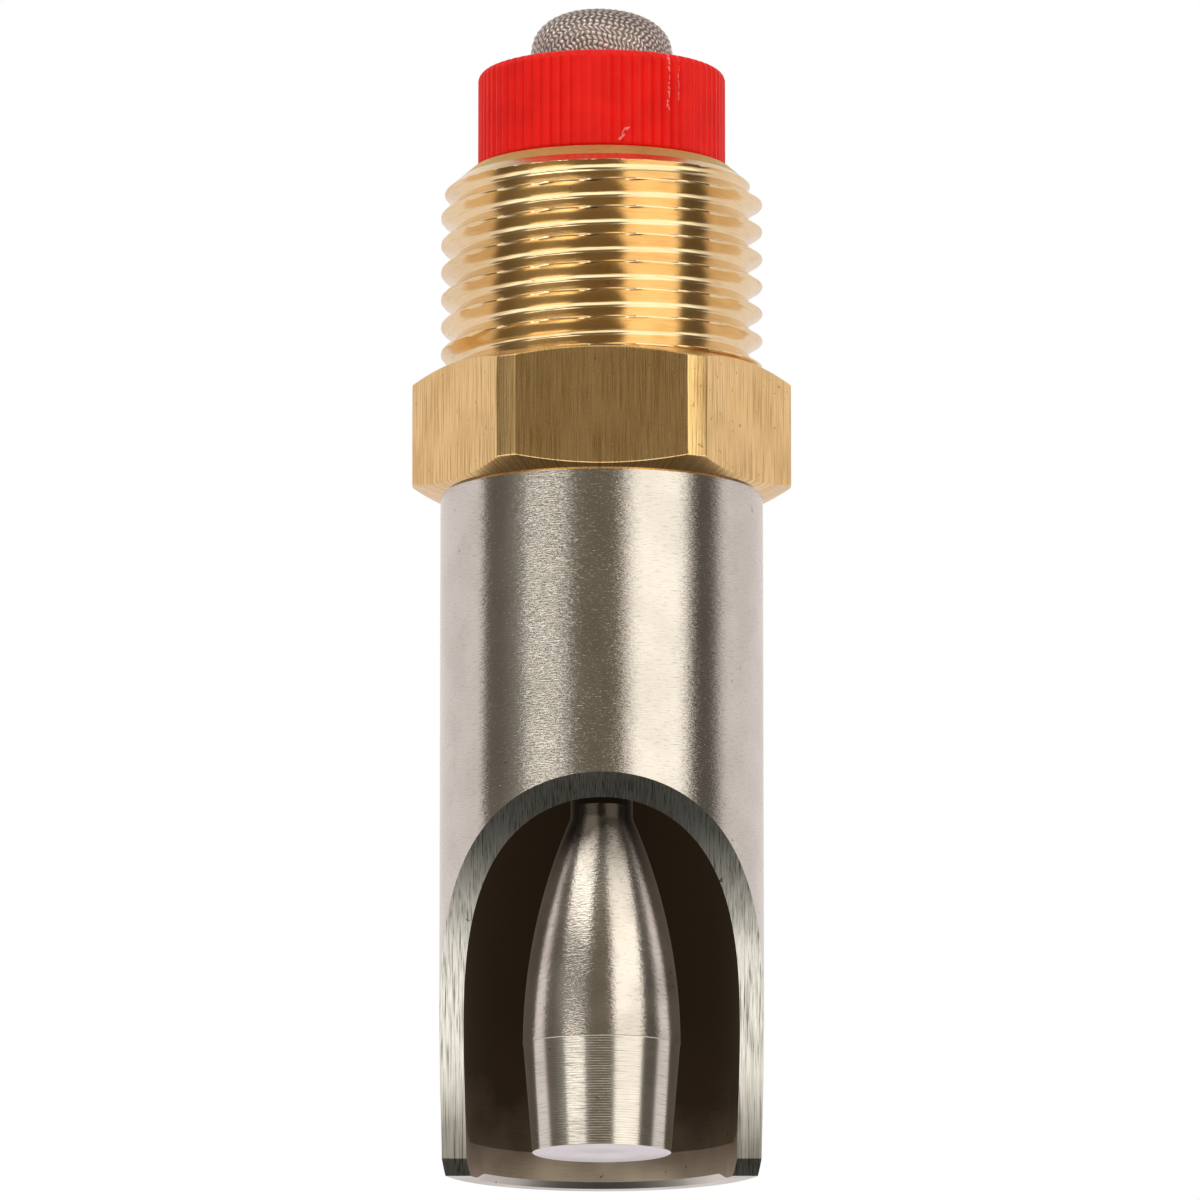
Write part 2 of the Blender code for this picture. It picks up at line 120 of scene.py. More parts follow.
def grid_object(
    name: str,
    points: np.ndarray,
    uv: np.ndarray,
    materials: list[bpy.types.Material],
    bands: tuple[Band, ...] = (Band(0, 0),),
    wrap_rows: bool = False,
    sharp_deg: float = 30.0,
) -> bpy.types.Object:
    """Makes a closed object from a grid of points whose columns meet round the axis.

    The faces join neighbouring rows and columns. With wrap_rows the last row joins the first, as on a
    ring. Without it, the first and last rows are closed to a point at their mean. The faces are turned
    outwards by the sign of the enclosed volume, which is the sum of the triangles' triple products.

    Args:
        name: the object's name.
        points: rows by columns by 3, in metres.
        uv: rows (one more with wrap_rows) by columns plus one by 2, in millimetres.
        materials: the object's materials.
        bands: which material each run of rows wears.
        wrap_rows: whether the profile is a closed loop.
        sharp_deg: edges that turn by more than this are shaded sharp.

    Returns:
        The object, at the origin.
    """
    rows, cols = points.shape[:2]
    verts = points.reshape(-1, 3)
    row_count = rows if wrap_rows else rows - 1
    i, j = np.meshgrid(np.arange(row_count), np.arange(cols), indexing="ij")
    i, j = i.ravel(), j.ravel()
    below, right = (i + 1) % rows, (j + 1) % cols
    quads = np.stack([i * cols + j, i * cols + right, below * cols + right, below * cols + j], axis=1)
    corners = np.stack([uv[i, j], uv[i, j + 1], uv[i + 1, j + 1], uv[i + 1, j]], axis=1)
    wears = np.zeros(row_count, int)
    for band in bands:
        wears[band.first_row :] = band.material
    faces, loops_uv, face_material = quads.tolist(), [corners.reshape(-1, 2)], [wears[i]]
    if not wrap_rows:
        poles = np.stack([points[0].mean(axis=0), points[-1].mean(axis=0)])
        verts = np.concatenate([verts, poles])
        col = np.arange(cols)
        nxt = (col + 1) % cols
        for row, pole, order in ((0, rows * cols, 1), (rows - 1, rows * cols + 1, -1)):
            fan = np.stack([np.full(cols, pole), row * cols + nxt, row * cols + col], axis=1)
            centre_uv = uv[row].mean(axis=0)
            fan_uv = np.stack([np.tile(centre_uv, (cols, 1)), uv[row, col + 1], uv[row, col]], axis=1)
            if order < 0:
                fan, fan_uv = fan[:, [0, 2, 1]], fan_uv[:, [0, 2, 1]]
            faces += fan.tolist()
            loops_uv.append(fan_uv.reshape(-1, 2))
            face_material.append(np.full(cols, wears[0 if row == 0 else -1]))
    corner = verts[quads]
    volume = sum(
        np.einsum("ij,ij->i", corner[:, a], np.cross(corner[:, b], corner[:, c])).sum()
        for a, b, c in ((0, 1, 2), (0, 2, 3))
    )
    mesh = bpy.data.meshes.new(name)
    mesh.from_pydata(verts.tolist(), [], faces)
    layer = mesh.uv_layers.new(name="surface")
    layer.data.foreach_set("uv", np.concatenate(loops_uv).astype(np.float32).ravel())
    mesh.polygons.foreach_set("material_index", np.concatenate(face_material).astype(np.int32))
    if volume < 0:
        mesh.flip_normals()
    for made in materials:
        mesh.materials.append(made)
    mesh.update()
    mesh.shade_smooth()
    mesh.set_sharp_from_angle(angle=math.radians(sharp_deg))
    obj = bpy.data.objects.new(name, mesh)
    bpy.context.scene.collection.objects.link(obj)
    return obj


def profile_uv(points: np.ndarray, wrap_rows: bool) -> np.ndarray:
    """Works out a UV map for a grid round the axis, in millimetres.

    u is the angle's share of a turn times the girth at the grid's largest radius, so it is even. v is the
    distance along the first column's profile.

    Args:
        points: rows by columns by 3.
        wrap_rows: whether the profile is a closed loop.

    Returns:
        The map that grid_object takes.
    """
    rows, cols = points.shape[:2]
    reach = float(np.hypot(points[..., 0], points[..., 1]).max())
    line = np.concatenate([points[:, 0], points[:1, 0]]) if wrap_rows else points[:, 0]
    along = np.concatenate([[0.0], np.cumsum(np.linalg.norm(np.diff(line, axis=0), axis=1))])
    around = np.arange(cols + 1) / cols * TURN * reach
    u, v = np.meshgrid(around, along)
    return np.stack([u, v], axis=-1) / MM


def soften_edges(obj: bpy.types.Object, width: float, angle_deg: float = 20.0) -> bpy.types.Object:
    """Rounds an object's sharp edges, as a machined edge is broken.

    Args:
        obj: the object.
        width: the bevel's width, in metres.
        angle_deg: edges that turn by more than this are rounded.

    Returns:
        The same object.
    """
    bevel = obj.modifiers.new("broken_edges", "BEVEL")
    bevel.width = width
    bevel.segments = 2
    bevel.limit_method = "ANGLE"
    bevel.angle_limit = math.radians(angle_deg)
    bevel.use_clamp_overlap = True
    bevel.harden_normals = True
    return obj


def turned_grid(outline: np.ndarray, cols: int) -> np.ndarray:
    """Spins an outline round the axis: each row of the grid is a circle of one radius at one height.

    Args:
        outline: (radius, height) rows, in metres.
        cols: columns in a turn.

    Returns:
        Points as rows by columns by 3.
    """
    angle = np.arange(cols) / cols * TURN
    return polar(outline[:, :1], angle[None, :], outline[:, 1:])


def set_uv_to_height(obj: bpy.types.Object) -> None:
    """Makes v the height in millimetres, so that marks run level across the whole piece.

    Args:
        obj: the piece whose map is changed.
    """
    mesh = obj.data
    coords = np.empty(len(mesh.vertices) * 3, np.float32)
    mesh.vertices.foreach_get("co", coords)
    loops = np.empty(len(mesh.loops), np.int32)
    mesh.loops.foreach_get("vertex_index", loops)
    layer = mesh.uv_layers[0]
    uv = np.empty(len(mesh.loops) * 2, np.float32)
    layer.data.foreach_get("uv", uv)
    uv = uv.reshape(-1, 2)
    uv[:, 1] = coords.reshape(-1, 3)[loops, 2] / MM
    layer.data.foreach_set("uv", uv.ravel())


# ------------------------------------------------------------------------------------------ shader helpers


class NodeSketch:
    """A short way to place and join shader nodes in one tree."""

    def __init__(self, tree: bpy.types.NodeTree) -> None:
        """Keeps the tree that nodes are added to."""
        self.tree = tree

    def add(self, kind: str, inputs: dict | None = None, **settings: object) -> bpy.types.Node:
        """Adds a node.

        Args:
            kind: the node's type name, without the ShaderNode in front.
            inputs: socket name or place to a value, or to the socket it is joined to.
            settings: the node's own settings.

        Returns:
            The node.
        """
        node = self.tree.nodes.new("ShaderNode" + kind)
        for key, value in settings.items():
            setattr(node, key, value)
        for key, value in (inputs or {}).items():
            if isinstance(value, bpy.types.NodeSocket):
                self.tree.links.new(value, node.inputs[key])
            else:
                node.inputs[key].default_value = value
        return node

    def math(self, operation: str, a: object, b: object = 0.0, c: object = 0.0) -> bpy.types.NodeSocket:
        """Adds a Math node and returns its result."""
        return self.add("Math", {0: a, 1: b, 2: c}, operation=operation).outputs[0]

    def color_ramp(self, value: object, stops: list[tuple[float, Color]]) -> bpy.types.NodeSocket:
        """Adds a colour ramp.

        Args:
            value: the socket or number that runs along the ramp.
            stops: (place, colour) pairs, with places from 0 to 1.

        Returns:
            The ramp's colour.
        """
        node = self.add("ValToRGB", {0: value})
        ramp = node.color_ramp
        while len(ramp.elements) < len(stops):
            ramp.elements.new(0.5)
        for element, (place, color) in zip(ramp.elements, stops):
            element.position = place
            element.color = (*color, 1.0)
        return node.outputs[0]

    def mix(self, factor: object, a: object, b: object) -> bpy.types.NodeSocket:
        """Mixes two colours.

        Args:
            factor: 0 gives a and 1 gives b.
            a: a colour or a socket.
            b: a colour or a socket.

        Returns:
            The mixed colour.
        """
        node = self.add("Mix", {0: factor}, data_type="RGBA")
        for place, value in ((6, a), (7, b)):
            if isinstance(value, bpy.types.NodeSocket):
                self.tree.links.new(value, node.inputs[place])
            else:
                node.inputs[place].default_value = (*value, 1.0)
        return node.outputs[2]

    def clamp(self, value: object) -> bpy.types.NodeSocket:
        """Keeps a value between 0 and 1."""
        return self.add("Clamp", {0: value}).outputs[0]

    def smooth(self, value: object, low: float, high: float) -> bpy.types.NodeSocket:
        """Returns 0 below low and 1 above high, with a smooth rise between them."""
        return self.add(
            "MapRange", {0: value, 1: low, 2: high, 3: 0.0, 4: 1.0}, interpolation_type="SMOOTHSTEP"
        ).outputs[0]


def make_group(name: str, inputs: dict[str, float], outputs: list[str]) -> tuple[NodeSketch, dict, dict]:
    """Starts a shader node group with a vector input and float sockets.

    Args:
        name: the group's name.
        inputs: float input names and their defaults, added after the Vector input.
        outputs: float output names.

    Returns:
        The sketch for the group's tree, its inputs' sockets and its outputs' sockets, by name.
    """
    tree = bpy.data.node_groups.new(name, "ShaderNodeTree")
    tree.interface.new_socket(name="Vector", in_out="INPUT", socket_type="NodeSocketVector")
    for label, value in inputs.items():
        made = tree.interface.new_socket(name=label, in_out="INPUT", socket_type="NodeSocketFloat")
        made.default_value = value
    for label in outputs:
        tree.interface.new_socket(name=label, in_out="OUTPUT", socket_type="NodeSocketFloat")
    start, end = tree.nodes.new("NodeGroupInput"), tree.nodes.new("NodeGroupOutput")
    return (
        NodeSketch(tree),
        {socket.name: socket for socket in start.outputs if socket.name},
        {socket.name: socket for socket in end.inputs if socket.name},
    )


@dataclass(frozen=True)
class Scuff:
    """A placed scuff line: where it crosses u, its v range, its width and its slant, in millimetres."""

    place: float
    low: float
    high: float
    width: float = 0.09
    slant: float = 0.0


@dataclass
class Effects:
    """The effects that several finishes share, each a node group built once."""

    def __post_init__(self) -> None:
        """Builds the groups."""
        self.dashes = self.build_dashes()
        self.grain = self.build_grain()
        self.nicks = self.build_nicks()
        self.scuff = self.build_scuff()

    @staticmethod
    def build_dashes() -> bpy.types.NodeTree:
        """Builds polishing marks: noise stretched Length long and Width wide along u, in two sizes.

        Returns:
            The group's tree.
        """
        inputs = {"Length": 1.0, "Width": 0.06}
        sketch, given, result = make_group("polishing_marks", inputs, ["Height", "Mask"])
        length_scale = sketch.math("DIVIDE", 1.0, given["Length"])
        width_scale = sketch.math("DIVIDE", 1.0, given["Width"])
        scale = sketch.add("CombineXYZ", {0: length_scale, 1: width_scale, 2: 1.0}).outputs[0]
        place = sketch.add("VectorMath", {0: given["Vector"], 1: scale}, operation="MULTIPLY").outputs[0]
        coarse = sketch.add("TexNoise", {"Vector": place, "Scale": 1.0, "Detail": 2.0}).outputs[0]
        fine = sketch.add("TexNoise", {"Vector": place, "Scale": 2.7, "Detail": 1.0}).outputs[0]
        height = sketch.math("ADD", coarse, sketch.math("MULTIPLY", fine, 0.5))
        sketch.tree.links.new(height, result["Height"])
        sketch.tree.links.new(sketch.smooth(coarse, 0.56, 0.72), result["Mask"])
        return sketch.tree

    @staticmethod
    def build_grain() -> bpy.types.NodeTree:
        """Builds fine even grain of the given Size, with slow blotches of Blotch size.

        Returns:
            The group's tree.
        """
        sketch, given, result = make_group("fine_grain", {"Size": 0.1, "Blotch": 3.0}, ["Height", "Blotches"])
        fine_scale = sketch.math("DIVIDE", 1.0, given["Size"])
        slow_scale = sketch.math("DIVIDE", 1.0, given["Blotch"])
        where = given["Vector"]
        fine = sketch.add("TexNoise", {"Vector": where, "Scale": fine_scale, "Detail": 3.0}).outputs[0]
        slow = sketch.add("TexNoise", {"Vector": where, "Scale": slow_scale, "Detail": 2.0}).outputs[0]
        sketch.tree.links.new(fine, result["Height"])
        sketch.tree.links.new(sketch.smooth(slow, 0.35, 0.65), result["Blotches"])
        return sketch.tree

    @staticmethod
    def build_nicks() -> bpy.types.NodeTree:
        """Builds sparse nicks: cells of the given Size, of which a Share hold a small mark.

        Returns:
            The group's tree.
        """
        sketch, given, result = make_group("sparse_nicks", {"Size": 0.6, "Share": 0.1}, ["Mask"])
        scale = sketch.math("DIVIDE", 1.0, given["Size"])
        bend = sketch.add("TexNoise", {"Vector": given["Vector"], "Scale": 2.0, "Detail": 2.0}).outputs[1]
        place = sketch.add("VectorMath", {0: bend, 1: given["Vector"]}, operation="ADD").outputs[0]
        cells = sketch.add("TexVoronoi", {"Vector": place, "Scale": scale})
        near = sketch.math("LESS_THAN", cells.outputs["Distance"], 0.16)
        parts = sketch.add("SeparateColor", {0: cells.outputs["Color"]}).outputs[0]
        chosen = sketch.math("LESS_THAN", parts, given["Share"])
        sketch.tree.links.new(sketch.math("MULTIPLY", near, chosen), result["Mask"])
        return sketch.tree

    @staticmethod
    def build_scuff() -> bpy.types.NodeTree:
        """Builds one broken, wandering line from Low to High along v, which starts at Place along u.

        Returns:
            The group's tree.
        """
        inputs = {"Place": 0.0, "Low": 0.0, "High": 1.0, "Width": 0.09, "Slant": 0.0}
        sketch, given, result = make_group("placed_scuff", inputs, ["Mask"])
        u, v, _ = sketch.add("SeparateXYZ", {0: given["Vector"]}).outputs[:]
        wander = sketch.add("TexNoise", {"Vector": given["Vector"], "Scale": 1.1, "Detail": 2.0}).outputs[0]
        broken = sketch.add("TexNoise", {"Vector": given["Vector"], "Scale": 4.5, "Detail": 2.0}).outputs[0]
        climb = sketch.math("SUBTRACT", v, given["Low"])
        lean = sketch.math("MULTIPLY_ADD", climb, given["Slant"], given["Place"])
        line = sketch.math("MULTIPLY_ADD", sketch.math("SUBTRACT", wander, 0.5), 0.9, lean)
        away = sketch.math("ABSOLUTE", sketch.math("SUBTRACT", u, line))
        away = sketch.math("DIVIDE", away, given["Width"])
        near = sketch.smooth(away, 1.0, 0.4)
        above = sketch.math("GREATER_THAN", v, given["Low"])
        below = sketch.math("LESS_THAN", v, given["High"])
        mask = sketch.math("MULTIPLY", near, sketch.math("MULTIPLY", above, below))
        mask = sketch.math("MULTIPLY", mask, sketch.smooth(broken, 0.44, 0.54))
        sketch.tree.links.new(mask, result["Mask"])
        return sketch.tree


def scuff_mask(
    sketch: NodeSketch, tree: bpy.types.NodeTree, uv: object, scuffs: tuple[Scuff, ...]
) -> object:
    """Joins the masks of several placed scuffs into one.

    Args:
        sketch: the material's sketch.
        tree: the group that draws one scuff.
        uv: the piece's map.
        scuffs: the scuffs.

    Returns:
        The mask, where 1 is scuffed.
    """
    mask = 0.0
    for scuff in scuffs:
        values = {"Place": scuff.place, "Low": scuff.low, "High": scuff.high, "Width": scuff.width}
        node = use_group(sketch, tree, uv, Slant=scuff.slant, **values)
        mask = sketch.math("MAXIMUM", node.outputs["Mask"], mask)
    return mask


def new_material(name: str) -> tuple[bpy.types.Material, NodeSketch, bpy.types.Node, bpy.types.NodeSocket]:
    """Starts a material.

    Args:
        name: the material's name.

    Returns:
        The material, a sketch of its tree, its Principled shader and the UV socket.
    """
    made = bpy.data.materials.new(name)
    made.use_nodes = True
    sketch = NodeSketch(made.node_tree)
    shader = made.node_tree.nodes["Principled BSDF"]
    uv = sketch.add("TexCoord").outputs["UV"]
    return made, sketch, shader, uv


def use_group(
    sketch: NodeSketch, tree: bpy.types.NodeTree, vector: object, **values: float
) -> bpy.types.Node:
    """Places a node group with its own values.

    Args:
        sketch: the material's sketch.
        tree: the group's tree.
        vector: what its Vector input reads.
        values: its other inputs.

    Returns:
        The group's node.
    """
    node = sketch.add("Group", node_tree=tree)
    sketch.tree.links.new(vector, node.inputs["Vector"])
    for label, value in values.items():
        node.inputs[label].default_value = value
    return node


def bump(sketch: NodeSketch, height: object, distance: float, normal: object = None) -> object:
    """Adds a Bump node.

    Args:
        sketch: the material's sketch.
        height: the socket that it reads as height.
        distance: what a height of 1 is worth, in metres.
        normal: the normal that it starts from, or None for the surface's own.

    Returns:
        The bumped normal.
    """
    inputs = {"Height": height, "Distance": distance, "Strength": 1.0}
    if normal is not None:
        inputs["Normal"] = normal
    return sketch.add("Bump", inputs).outputs[0]


# ------------------------------------------------------------------------------------------------ finishes


@dataclass(frozen=True)
class WorkedMetal:
    """Bare metal with worked marks, fine grain, blotches of tone and a few nicks.

    tone and dark_tone are the metal's own colours; where painted_shade_span is set, the dark tone is also
    painted shade. Lengths, widths and sizes of marks are in millimetres and depths in metres. mark_shade
    darkens the deepest marks, and mark_contrast every mark by how far it lies from the middle height. A
    ground face has marks that lie in planes across X and that end at the tube's back. painted_shade_span
    holds the heights in millimetres between which the dark tone grows to its full, as painted shade that
    darkens the metal higher up.
    """

    name: str
    tone: Color
    dark_tone: Color
    roughness: float
    mark_length: float
    mark_width: float
    mark_depth: float
    grain_size: float = 0.09
    grain_depth: float = 0.0000015
    run: Run = Run.ROUND
    nick_share: float = 0.05
    nick_size: float = 0.9
    nick_shade: float = 0.9
    nick_depth: float = -0.000012
    blotch_size: float = 4.0
    blotch_shade: float = 0.25
    mark_shade: float = 0.25
    mark_contrast: float = 0.6
    mark_middle: float = 0.7
    mark_roughness: float = 0.08
    grain_roughness: float = 0.12
    ground: bool = False
    ground_until: tuple[float, float] = (3.2 * MM, 2.4 * MM)
    painted_shade_span: tuple[float, float] | None = None

    def build(self, effects: Effects) -> bpy.types.Material:
        """Builds the material.

        Args:
            effects: the shared node groups.

        Returns:
            The material.
        """
        made, sketch, shader, uv = new_material(self.name)
        place = sketch.add("TexCoord").outputs["Object"]
        x, y, z = sketch.add("SeparateXYZ", {0: place}).outputs[:]
        if self.ground:
            turned = sketch.add("CombineXYZ", {0: x, 1: z, 2: y}).outputs[0]
            uv = sketch.add("VectorMath", {0: turned, 3: 1 / MM}, operation="SCALE").outputs[0]
        length, width = self.mark_length, self.mark_width
        if self.run is Run.ALONG:
            length, width = width, length
        marks = use_group(sketch, effects.dashes, uv, Length=length, Width=width)
        height, mask = marks.outputs["Height"], marks.outputs["Mask"]
        if self.ground:
            kept = sketch.smooth(y, *self.ground_until)
            above = sketch.math("SUBTRACT", height, self.mark_middle)
            height = sketch.math("MULTIPLY_ADD", above, kept, self.mark_middle)
            mask = sketch.math("MULTIPLY", mask, kept)
        grain = use_group(sketch, effects.grain, uv, Size=self.grain_size, Blotch=self.blotch_size)
        nicks = use_group(sketch, effects.nicks, uv, Size=self.nick_size, Share=self.nick_share)
        even = sketch.math("SUBTRACT", height, self.mark_middle)
        shade = sketch.math("MULTIPLY", mask, self.mark_shade)
        shade = sketch.math("MULTIPLY_ADD", even, self.mark_contrast, shade)
        shade = sketch.math("MULTIPLY_ADD", grain.outputs["Blotches"], self.blotch_shade, shade)
        shade = sketch.math("MAXIMUM", shade, sketch.math("MULTIPLY", nicks.outputs["Mask"], self.nick_shade))
        # painted shade: between the two heights the colour darkens to the dark tone, standing in for shade up
        # inside the shield
        if self.painted_shade_span:
            lit_height, shaded_height = self.painted_shade_span
            shade = sketch.math("ADD", shade, sketch.smooth(z, lit_height * MM, shaded_height * MM))
        color = sketch.mix(sketch.clamp(shade), self.tone, self.dark_tone)
        least = self.roughness - self.grain_roughness / 2
        rough = sketch.math("MULTIPLY_ADD", grain.outputs["Height"], self.grain_roughness, least)
        rough = sketch.math("MULTIPLY_ADD", mask, self.mark_roughness, rough)
        first = bump(sketch, height, self.mark_depth)
        second = bump(sketch, grain.outputs["Height"], self.grain_depth, normal=first)
        third = bump(sketch, nicks.outputs["Mask"], self.nick_depth, normal=second)
        sketch.tree.links.new(color, shader.inputs["Base Color"])
        sketch.tree.links.new(rough, shader.inputs["Roughness"])
        sketch.tree.links.new(third, shader.inputs["Normal"])
        shader.inputs["Metallic"].default_value = 1.0
        return made


@dataclass(frozen=True)
class MouldedPlastic:
    """Satin moulded plastic with slow shade changes, fine grain and pale scuffs."""

    name: str
    tone: Color
    deep_tone: Color
    scuff_tone: Color
    roughness: float = 0.40
    specular: float = 0.22
    scuff_share: float = 0.5
    grain_depth: float = 0.000004
    scuffs: tuple[Scuff, ...] = ()

    def build(self, effects: Effects) -> bpy.types.Material:
        """Builds the material.

        Args:
            effects: the shared node groups.

        Returns:
            The material.
        """
        made, sketch, shader, uv = new_material(self.name)
        grain = use_group(sketch, effects.grain, uv, Size=0.12, Blotch=2.2)
        base = sketch.mix(sketch.math("MULTIPLY", grain.outputs["Blotches"], 0.7), self.tone, self.deep_tone)
        scuff = scuff_mask(sketch, effects.scuff, uv, self.scuffs)
        color = sketch.mix(sketch.math("MULTIPLY", scuff, self.scuff_share), base, self.scuff_tone)
        rough = sketch.math("ADD", sketch.math("MULTIPLY", grain.outputs["Height"], 0.14), self.roughness)
        sketch.tree.links.new(color, shader.inputs["Base Color"])
        sketch.tree.links.new(rough, shader.inputs["Roughness"])
        normal = bump(sketch, grain.outputs["Height"], self.grain_depth)
        sketch.tree.links.new(normal, shader.inputs["Normal"])
        shader.inputs["Specular IOR Level"].default_value = self.specular
        return made


@dataclass(frozen=True)
class WovenWire:
    """Woven stainless wire: the wires' tone on their crowns and a painted shade tone in the gaps between
    them.
    """

    name: str
    crown: Color
    painted_gap_shade: Color

    def build(self, effects: Effects) -> bpy.types.Material:
        """Builds the material from the piece's own height attribute, which is 1 on a wire's crown.

        Args:
            effects: the shared node groups.

        Returns:
            The material.
        """
        made, sketch, shader, uv = new_material(self.name)
        height = sketch.add("Attribute", attribute_name="wire_height").outputs["Fac"]
        grain = use_group(sketch, effects.grain, uv, Size=0.12, Blotch=0.8)
        lift = sketch.math("ADD", height, sketch.math("MULTIPLY", grain.outputs["Height"], 0.3))
        # painted shade: the low parts of the cloth, between the wires, darken to the painted gap shade
        color = sketch.mix(sketch.smooth(lift, 0.30, 0.85), self.painted_gap_shade, self.crown)
        sketch.tree.links.new(color, shader.inputs["Base Color"])
        rough = sketch.math("ADD", sketch.math("MULTIPLY", grain.outputs["Blotches"], 0.15), 0.32)
        sketch.tree.links.new(rough, shader.inputs["Roughness"])
        sketch.tree.links.new(bump(sketch, grain.outputs["Height"], 0.000006), shader.inputs["Normal"])
        shader.inputs["Metallic"].default_value = 1.0
        return made


@dataclass(frozen=True)
class SolidFinish:
    """A finish for a solid inside the valve, patterned on Object coordinates."""

    name: str
    tone: Color
    dark_tone: Color
    metallic: float
    roughness: float
    grain_per_metre: float = 4000.0
    grain_depth: float = 0.000005
    grain_roughness: float = 0.2

    def build(self) -> bpy.types.Material:
        """Builds the material, in which fine noise shades the tone and roughens the surface.

        Returns:
            The material.
        """
        made = bpy.data.materials.new(self.name)
        made.use_nodes = True
        sketch = NodeSketch(made.node_tree)
        shader = made.node_tree.nodes["Principled BSDF"]
        place = sketch.add("TexCoord").outputs["Object"]
        inputs = {"Vector": place, "Scale": self.grain_per_metre, "Detail": 3.0}
        noise = sketch.add("TexNoise", inputs).outputs[0]
        color = sketch.mix(sketch.smooth(noise, 0.4, 0.65), self.tone, self.dark_tone)
        least = self.roughness - self.grain_roughness / 2
        rough = sketch.math("MULTIPLY_ADD", noise, self.grain_roughness, least)
        sketch.tree.links.new(color, shader.inputs["Base Color"])
        sketch.tree.links.new(rough, shader.inputs["Roughness"])
        sketch.tree.links.new(bump(sketch, noise, self.grain_depth), shader.inputs["Normal"])
        shader.inputs["Metallic"].default_value = self.metallic
        return made


BRASS_THREAD = WorkedMetal(
    name="brass_thread",
    tone=(0.90, 0.70, 0.42),
    dark_tone=(0.62, 0.42, 0.18),
    roughness=0.15,
    mark_length=2.4,
    mark_width=0.07,
    mark_depth=0.0000025,
)
BRASS_LEAD_IN = WorkedMetal(
    name="brass_lead_in",
    tone=(0.78, 0.62, 0.24),
    dark_tone=(0.48, 0.34, 0.10),
    roughness=0.50,
    mark_length=1.2,
    mark_width=0.09,
    mark_depth=0.00003,
    grain_depth=0.00002,
)
BRASS_FLATS = WorkedMetal(
    name="brass_flats",
    tone=(0.94, 0.65, 0.30),
    dark_tone=(0.50, 0.30, 0.09),
    roughness=0.25,
    mark_length=5.0,
    mark_width=0.065,
    mark_depth=0.000005,
    mark_contrast=3.0,
    grain_depth=0.000003,
    run=Run.ALONG,
    nick_share=0.22,
    nick_size=0.55,
)
SHIELD_OUTSIDE = WorkedMetal(
    name="shield_outside",
    tone=(0.68, 0.64, 0.59),
    dark_tone=(0.42, 0.39, 0.34),
    roughness=0.125,
    mark_length=0.6,
    mark_width=0.09,
    mark_depth=0.000016,
)
SHIELD_CUT = WorkedMetal(
    name="shield_cut",
    tone=(0.72, 0.70, 0.65),
    dark_tone=(0.12, 0.12, 0.10),
    roughness=0.30,
    mark_length=9.0,
    mark_width=0.07,
    mark_depth=0.000009,
    mark_shade=0.5,
    mark_contrast=1.8,
    run=Run.ALONG,
    ground=True,
)
# painted shade: this finish darkens towards its dark tone higher up the tube, where less light gets in
SHIELD_INSIDE = WorkedMetal(
    name="shield_inside",
    tone=(0.64, 0.54, 0.43),
    dark_tone=(0.20, 0.15, 0.11),
    roughness=0.55,
    mark_length=2.0,
    mark_width=0.1,
    mark_depth=0.000003,
    mark_shade=0.08,
    mark_contrast=0.12,
    painted_shade_span=(-54.0, -43.5),
)
# painted shade: the ogive darkens to a near-black tone higher up, where the nose sits in the shield's shade
PIN_OGIVE = WorkedMetal(
    name="pin_ogive",
    tone=(0.72, 0.67, 0.61),
    dark_tone=(0.055, 0.047, 0.038),
    roughness=0.17,
    mark_length=0.5,
    mark_width=0.14,
    mark_depth=0.000016,
    mark_shade=0.06,
    mark_contrast=0.16,
    nick_share=0.02,
    painted_shade_span=(-34.5, -29.0),
)
PIN_CONE = WorkedMetal(
    name="pin_cone",
    tone=(0.72, 0.68, 0.62),
    dark_tone=(0.42, 0.39, 0.34),
    roughness=0.16,
    mark_length=2.0,
    mark_width=0.08,
    mark_depth=0.000003,
)
PIN_END = WorkedMetal(
    name="pin_end",
    tone=(0.86, 0.84, 0.88),
    dark_tone=(0.70, 0.68, 0.72),
    roughness=0.35,
    mark_length=0.6,
    mark_width=0.2,
    mark_depth=0.000002,
)
RED_ACETAL = MouldedPlastic(
    name="red_acetal",
    tone=(0.98, 0.010, 0.004),
    deep_tone=(0.86, 0.006, 0.003),
    scuff_tone=(1.0, 0.62, 0.58),
    scuffs=(Scuff(42.7, 16.2, 20.0), Scuff(43.5, 17.0, 20.1, 0.07), Scuff(39.2, 14.0, 14.9, 0.16, 0.7)),
)
WOVEN_WIRE = WovenWire("woven_wire", crown=(0.80, 0.72, 0.68), painted_gap_shade=(0.26, 0.20, 0.18))


# -------------------------------------------------------------------------------------------- sub-assemblies


